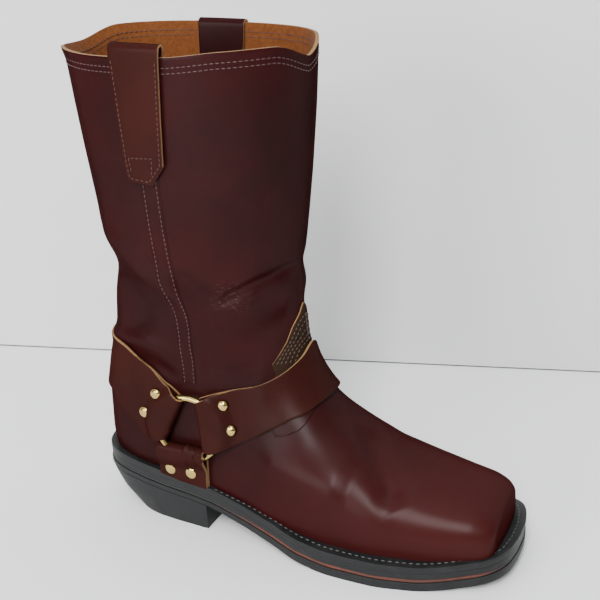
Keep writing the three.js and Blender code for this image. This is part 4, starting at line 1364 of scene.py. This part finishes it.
def pull_rows(side):
    """Stitch rows of a pull strap on its outside."""
    under = GAP + STRIP_THICK + GAP + PULL_THICK + 0.05
    ends = np.array([PULL_TIP, PULL_CORNER, PULL_HEAD], float)
    rear_edge = ends[:, 0] + [[1.8, 2.5], [1.9, 6], [2.4, -6]]
    fore_edge = ends[:, 1] + [[-1.2, 2.5], [-2.0, 1], [-2.0, -6]]
    foot = ends[0] + [[1.8, 2.4], [-1.2, 2.5]]
    box_top = np.array([[1.5, 266], [0.5, 275], [17, 276], [16, 265]])
    return [(find_all(even(path, 40), side), under) for path in (rear_edge, fore_edge, foot, box_top)]


def patch_rows(side):
    """Stitch rows along the visible edge of the instep patch."""
    runs = []
    for inset in (1.8, 3.6, 5.6, 7.6, 9.6):
        path = np.array([
            [88.8 + inset * 0.9, 160], [86.5 + inset, 153.5], [83.7 + inset, 143],
            [80.2 + inset, 135.3], [76.8 + inset * 1.25, 128]])
        runs.append((find_all(even(path, 24), side), PATCH_LIFT + 0.6))
    return runs


def welt_points():
    """Points, directions and ways out of the stitches round the welt."""
    x, lateral, medial = outline(WELT_STAND * 0.42, False, 900)
    left, right = (
        np.stack([x, y, sole_top(x)], axis=1)[x > WELT_STITCHES_FROM] for y in (-lateral, medial))
    points = np.concatenate([left, right[::-1]])
    along = walked(points)
    wanted = np.arange(2, along[-1], WELT_PITCH)
    spots = sample(wanted, along, points)
    ahead = sample(wanted + 0.5, along, points)
    return spots + [0, 0, 0.15], unit(ahead - spots), np.tile([0, 0, 1.0], (len(spots), 1))


# Stage
def make_stage():
    """The floor, the wall behind it and a thin strip of painted shadow where they meet."""
    wall_left, wall_right = Vector((-0.317, 0.1815, 0)), Vector((0.2457, 0.3305, 0))
    along = (wall_right - wall_left).normalized()
    towards = Vector((along.y, -along.x, 0))
    up = Vector((0, 0, 1))
    sheets = [
        ("floor", plain("floor_paint", 0.92), towards * 4, 0.0),
        ("backdrop", see_through_back(plain("wall_paint", 0.76)), up * 3, 0.0),
        # Painted shadow: a thin dark sheet laid where the wall meets the floor.
        ("floor_joint", see_through_back(plain("joint_shade", 0.1)), up * 0.0012, 0.001),
    ]
    for name, paint, reach, forward in sheets:
        left = wall_left - along * 3 + towards * forward
        right = wall_right + along * 3 + towards * forward
        points = np.array([left, right, right + reach, left + reach]) / MM
        face = (0, 3, 2, 1) if name == "floor" else (0, 1, 2, 3)
        build(name, points, [face], [paint])


def plain(name, tone):
    material, tree, shader, where = new_finish(name)
    shade = noise(tree, where, 3, 2, 0.5)
    base = blend(tree, shade, (tone * 0.97,) * 3, (tone,) * 3)
    wire(tree, shader, {"Base Color": base, "Roughness": 0.75})
    return material


def see_through_back(material):
    """Let a view from behind pass through the backdrop."""
    tree = material.node_tree
    out = next(n for n in tree.nodes if n.type == "OUTPUT_MATERIAL")
    front = out.inputs[0].links[0].from_socket
    behind = node(tree, "ShaderNodeNewGeometry").outputs["Backfacing"]
    clear = node(tree, "ShaderNodeBsdfTransparent").outputs[0]
    mix = node(tree, "ShaderNodeMixShader", {0: behind, 1: front, 2: clear})
    tree.links.new(mix.outputs[0], out.inputs[0])
    return material


def lamp(name, location, target, size, power):
    data = bpy.data.lights.new(name, "AREA")
    data.shape = "RECTANGLE"
    data.size, data.size_y = size
    data.energy = power
    light = bpy.data.objects.new(name, data)
    light.location = location
    light.rotation_euler = (Vector(target) - Vector(location)).to_track_quat("-Z", "Y").to_euler()
    bpy.context.scene.collection.objects.link(light)


def make_camera():
    yaw, pitch, roll = 0.4105, 0.3694, -0.0174
    forward = Vector((-math.sin(yaw) * math.cos(pitch), math.cos(yaw) * math.cos(pitch), -math.sin(pitch)))
    level = Vector((math.cos(yaw), math.sin(yaw), 0))
    up = level.cross(forward)
    right = level * math.cos(roll) + up * math.sin(roll)
    up = up * math.cos(roll) - level * math.sin(roll)
    data = bpy.data.cameras.new("camera")
    data.sensor_width = 36
    data.lens = 68.616
    camera = bpy.data.objects.new("camera", data)
    camera.matrix_world = Matrix.Translation((0.3766, -0.6607, 0.4487)) @ Matrix(
        (right, up, -forward)).transposed().to_4x4()
    bpy.context.scene.collection.objects.link(camera)
    bpy.context.scene.camera = camera


class BOOT_OT_upper(bpy.types.Operator):
    """Make the creased leather upper"""

    bl_idname = "boot.upper"
    bl_label = "Upper"

    def execute(self, context):
        make_upper(context.scene.boot_sizes.curl / MM)
        return {"FINISHED"}


class BOOT_OT_sole(bpy.types.Operator):
    """Make the layers of the sole, the insole and the heel"""

    bl_idname = "boot.sole"
    bl_label = "Sole and heel"

    def execute(self, context):
        make_sole()
        make_heel()
        return {"FINISHED"}


class BOOT_OT_patch(bpy.types.Operator):
    """Make the instep patch and the side seam strips"""

    bl_idname = "boot.patch"
    bl_label = "Patch and seams"

    def execute(self, context):
        make_patch()
        for name in SIDES:
            make_seam_strip(name)
        return {"FINISHED"}


class BOOT_OT_harness(bpy.types.Operator):
    """Make the straps, tabs and rings of the harness"""

    bl_idname = "boot.harness"
    bl_label = "Harness"

    def execute(self, context):
        strap = context.scene.boot_sizes.strap / MM
        make_strap("front_harness", FRONT_STRAP_TOP, FRONT_STRAP_BOTTOM, "front", strap, "front_strap")
        make_strap("back_harness", BACK_STRAP_TOP, BACK_STRAP_BOTTOM, "back", strap, "back_strap")
        for name in SIDES:
            make_tab(name, strap)
            make_ring(name)
        return {"FINISHED"}


class BOOT_OT_rivets(bpy.types.Operator):
    """Set the rivets of the straps and tabs"""

    bl_idname = "boot.rivets"
    bl_label = "Rivets"

    def execute(self, context):
        sizes = context.scene.boot_sizes
        straps = ("front_upper", "front_lower", "back_upper", "back_lower")
        tabs = ("tab_rear", "tab_fore")
        for name, spots, rise, ends in (
                ("strap_rivets", STRAP_RIVETS, sizes.dome, straps),
                ("tab_rivets", TAB_RIVETS, sizes.dome * 0.5, tabs)):
            nodes = [f"rivet_{end}_{side}" for end in ends for side in SIDES]
            make_rivets(name, spots, sizes.rivet, rise, nodes)
        return {"FINISHED"}


class BOOT_OT_pulls(bpy.types.Operator):
    """Make the pull straps"""

    bl_idname = "boot.pulls"
    bl_label = "Pull straps"

    def execute(self, context):
        for name in SIDES:
            make_pull(name)
        return {"FINISHED"}


class BOOT_OT_stitches(bpy.types.Operator):
    """Sew the rows of stitches"""

    bl_idname = "boot.stitches"
    bl_label = "Stitches"

    def execute(self, context):
        sizes = context.scene.boot_sizes
        collar = [(below_collar(depth), lift) for lift in (0.05, -WALL - 0.05) for depth in COLLAR_ROWS]
        sew("collar_stitches", collar, sizes, length=COLLAR_STITCH * MM, pitch=COLLAR_PITCH * MM)
        seams = [(even(strip_path(share, side), 300, on_last), STRIP_LIFT + 0.1)
                 for side in SIDES.values() for share in (-0.72, 0.72)]
        sew("seam_stitches", seams, sizes)
        pulls = [run for side in SIDES.values() for run in pull_rows(side)]
        sew("pull_stitches", pulls, sizes, "strap_thread", "harness_leather")
        patch = [run for side in SIDES.values() for run in patch_rows(side)]
        sew("patch_stitches", patch, sizes, "patch_thread")
        piece = scatter(
            "welt_stitches", *welt_points(), "thread", finish("welt_thread"),
            length=WELT_STITCH * MM, thickness=WELT_THREAD * MM)
        place(piece, "sole_rubber")
        return {"FINISHED"}


class BOOT_OT_stage(bpy.types.Operator):
    """Set the floor, the backdrop, the lamps and the camera"""

    bl_idname = "boot.stage"
    bl_label = "Stage"

    def execute(self, context):
        make_stage()
        world = bpy.data.worlds.new("soft_room")
        world.use_nodes = True
        tree = world.node_tree
        direction = node(tree, "ShaderNodeTexCoord").outputs["Generated"]
        way = node(tree, "ShaderNodeSeparateXYZ", {0: direction})
        sky = blend(tree, spread(tree, way.outputs[2], 0.1, 0.8), (0.42, 0.44, 0.46), (1.25, 1.3, 1.35))
        tree.links.new(sky, tree.nodes["Background"].inputs["Color"])
        tree.nodes["Background"].inputs["Strength"].default_value = 0.5
        context.scene.world = world
        lamp("key", (0.36, -1.29, 1.2), (0.15, 0, 0.1), (0.36, 0.8), 34)
        lamp("low_window", (-0.5, -1.55, 0.6), (0.05, 0, 0.12), (1.0, 0.75), 21)
        lamp("ceiling", (0.1, -0.2, 2.2), (0.1, 0, 0), (1.5, 1.5), 14)
        make_camera()
        return {"FINISHED"}


STEPS = [
    BOOT_OT_upper, BOOT_OT_sole, BOOT_OT_patch, BOOT_OT_harness, BOOT_OT_rivets, BOOT_OT_pulls,
    BOOT_OT_stitches, BOOT_OT_stage,
]


class BOOT_PT_panel(bpy.types.Panel):
    """Sizes, colours and steps of the boot"""

    bl_idname = "BOOT_PT_panel"
    bl_label = "Harness boot"
    bl_space_type = "VIEW_3D"
    bl_region_type = "UI"
    bl_category = "Boot"

    def draw(self, context):
        for settings in (context.scene.boot_sizes, context.scene.boot_colours):
            for key in settings.__annotations__:
                self.layout.prop(settings, key)
        for step in STEPS:
            self.layout.operator(step.bl_idname)


CLASSES = [BootSizes, BootColours, *STEPS, BOOT_PT_panel]


def register():
    for item in CLASSES:
        bpy.utils.register_class(item)
    bpy.types.Scene.boot_sizes = PointerProperty(type=BootSizes)
    bpy.types.Scene.boot_colours = PointerProperty(type=BootColours)


def unregister():
    del bpy.types.Scene.boot_colours
    del bpy.types.Scene.boot_sizes
    for item in reversed(CLASSES):
        bpy.utils.unregister_class(item)


def main():
    register()
    for step in STEPS:
        getattr(bpy.ops.boot, step.bl_idname.split(".")[1])()


if __name__ == "__main__":
    main()
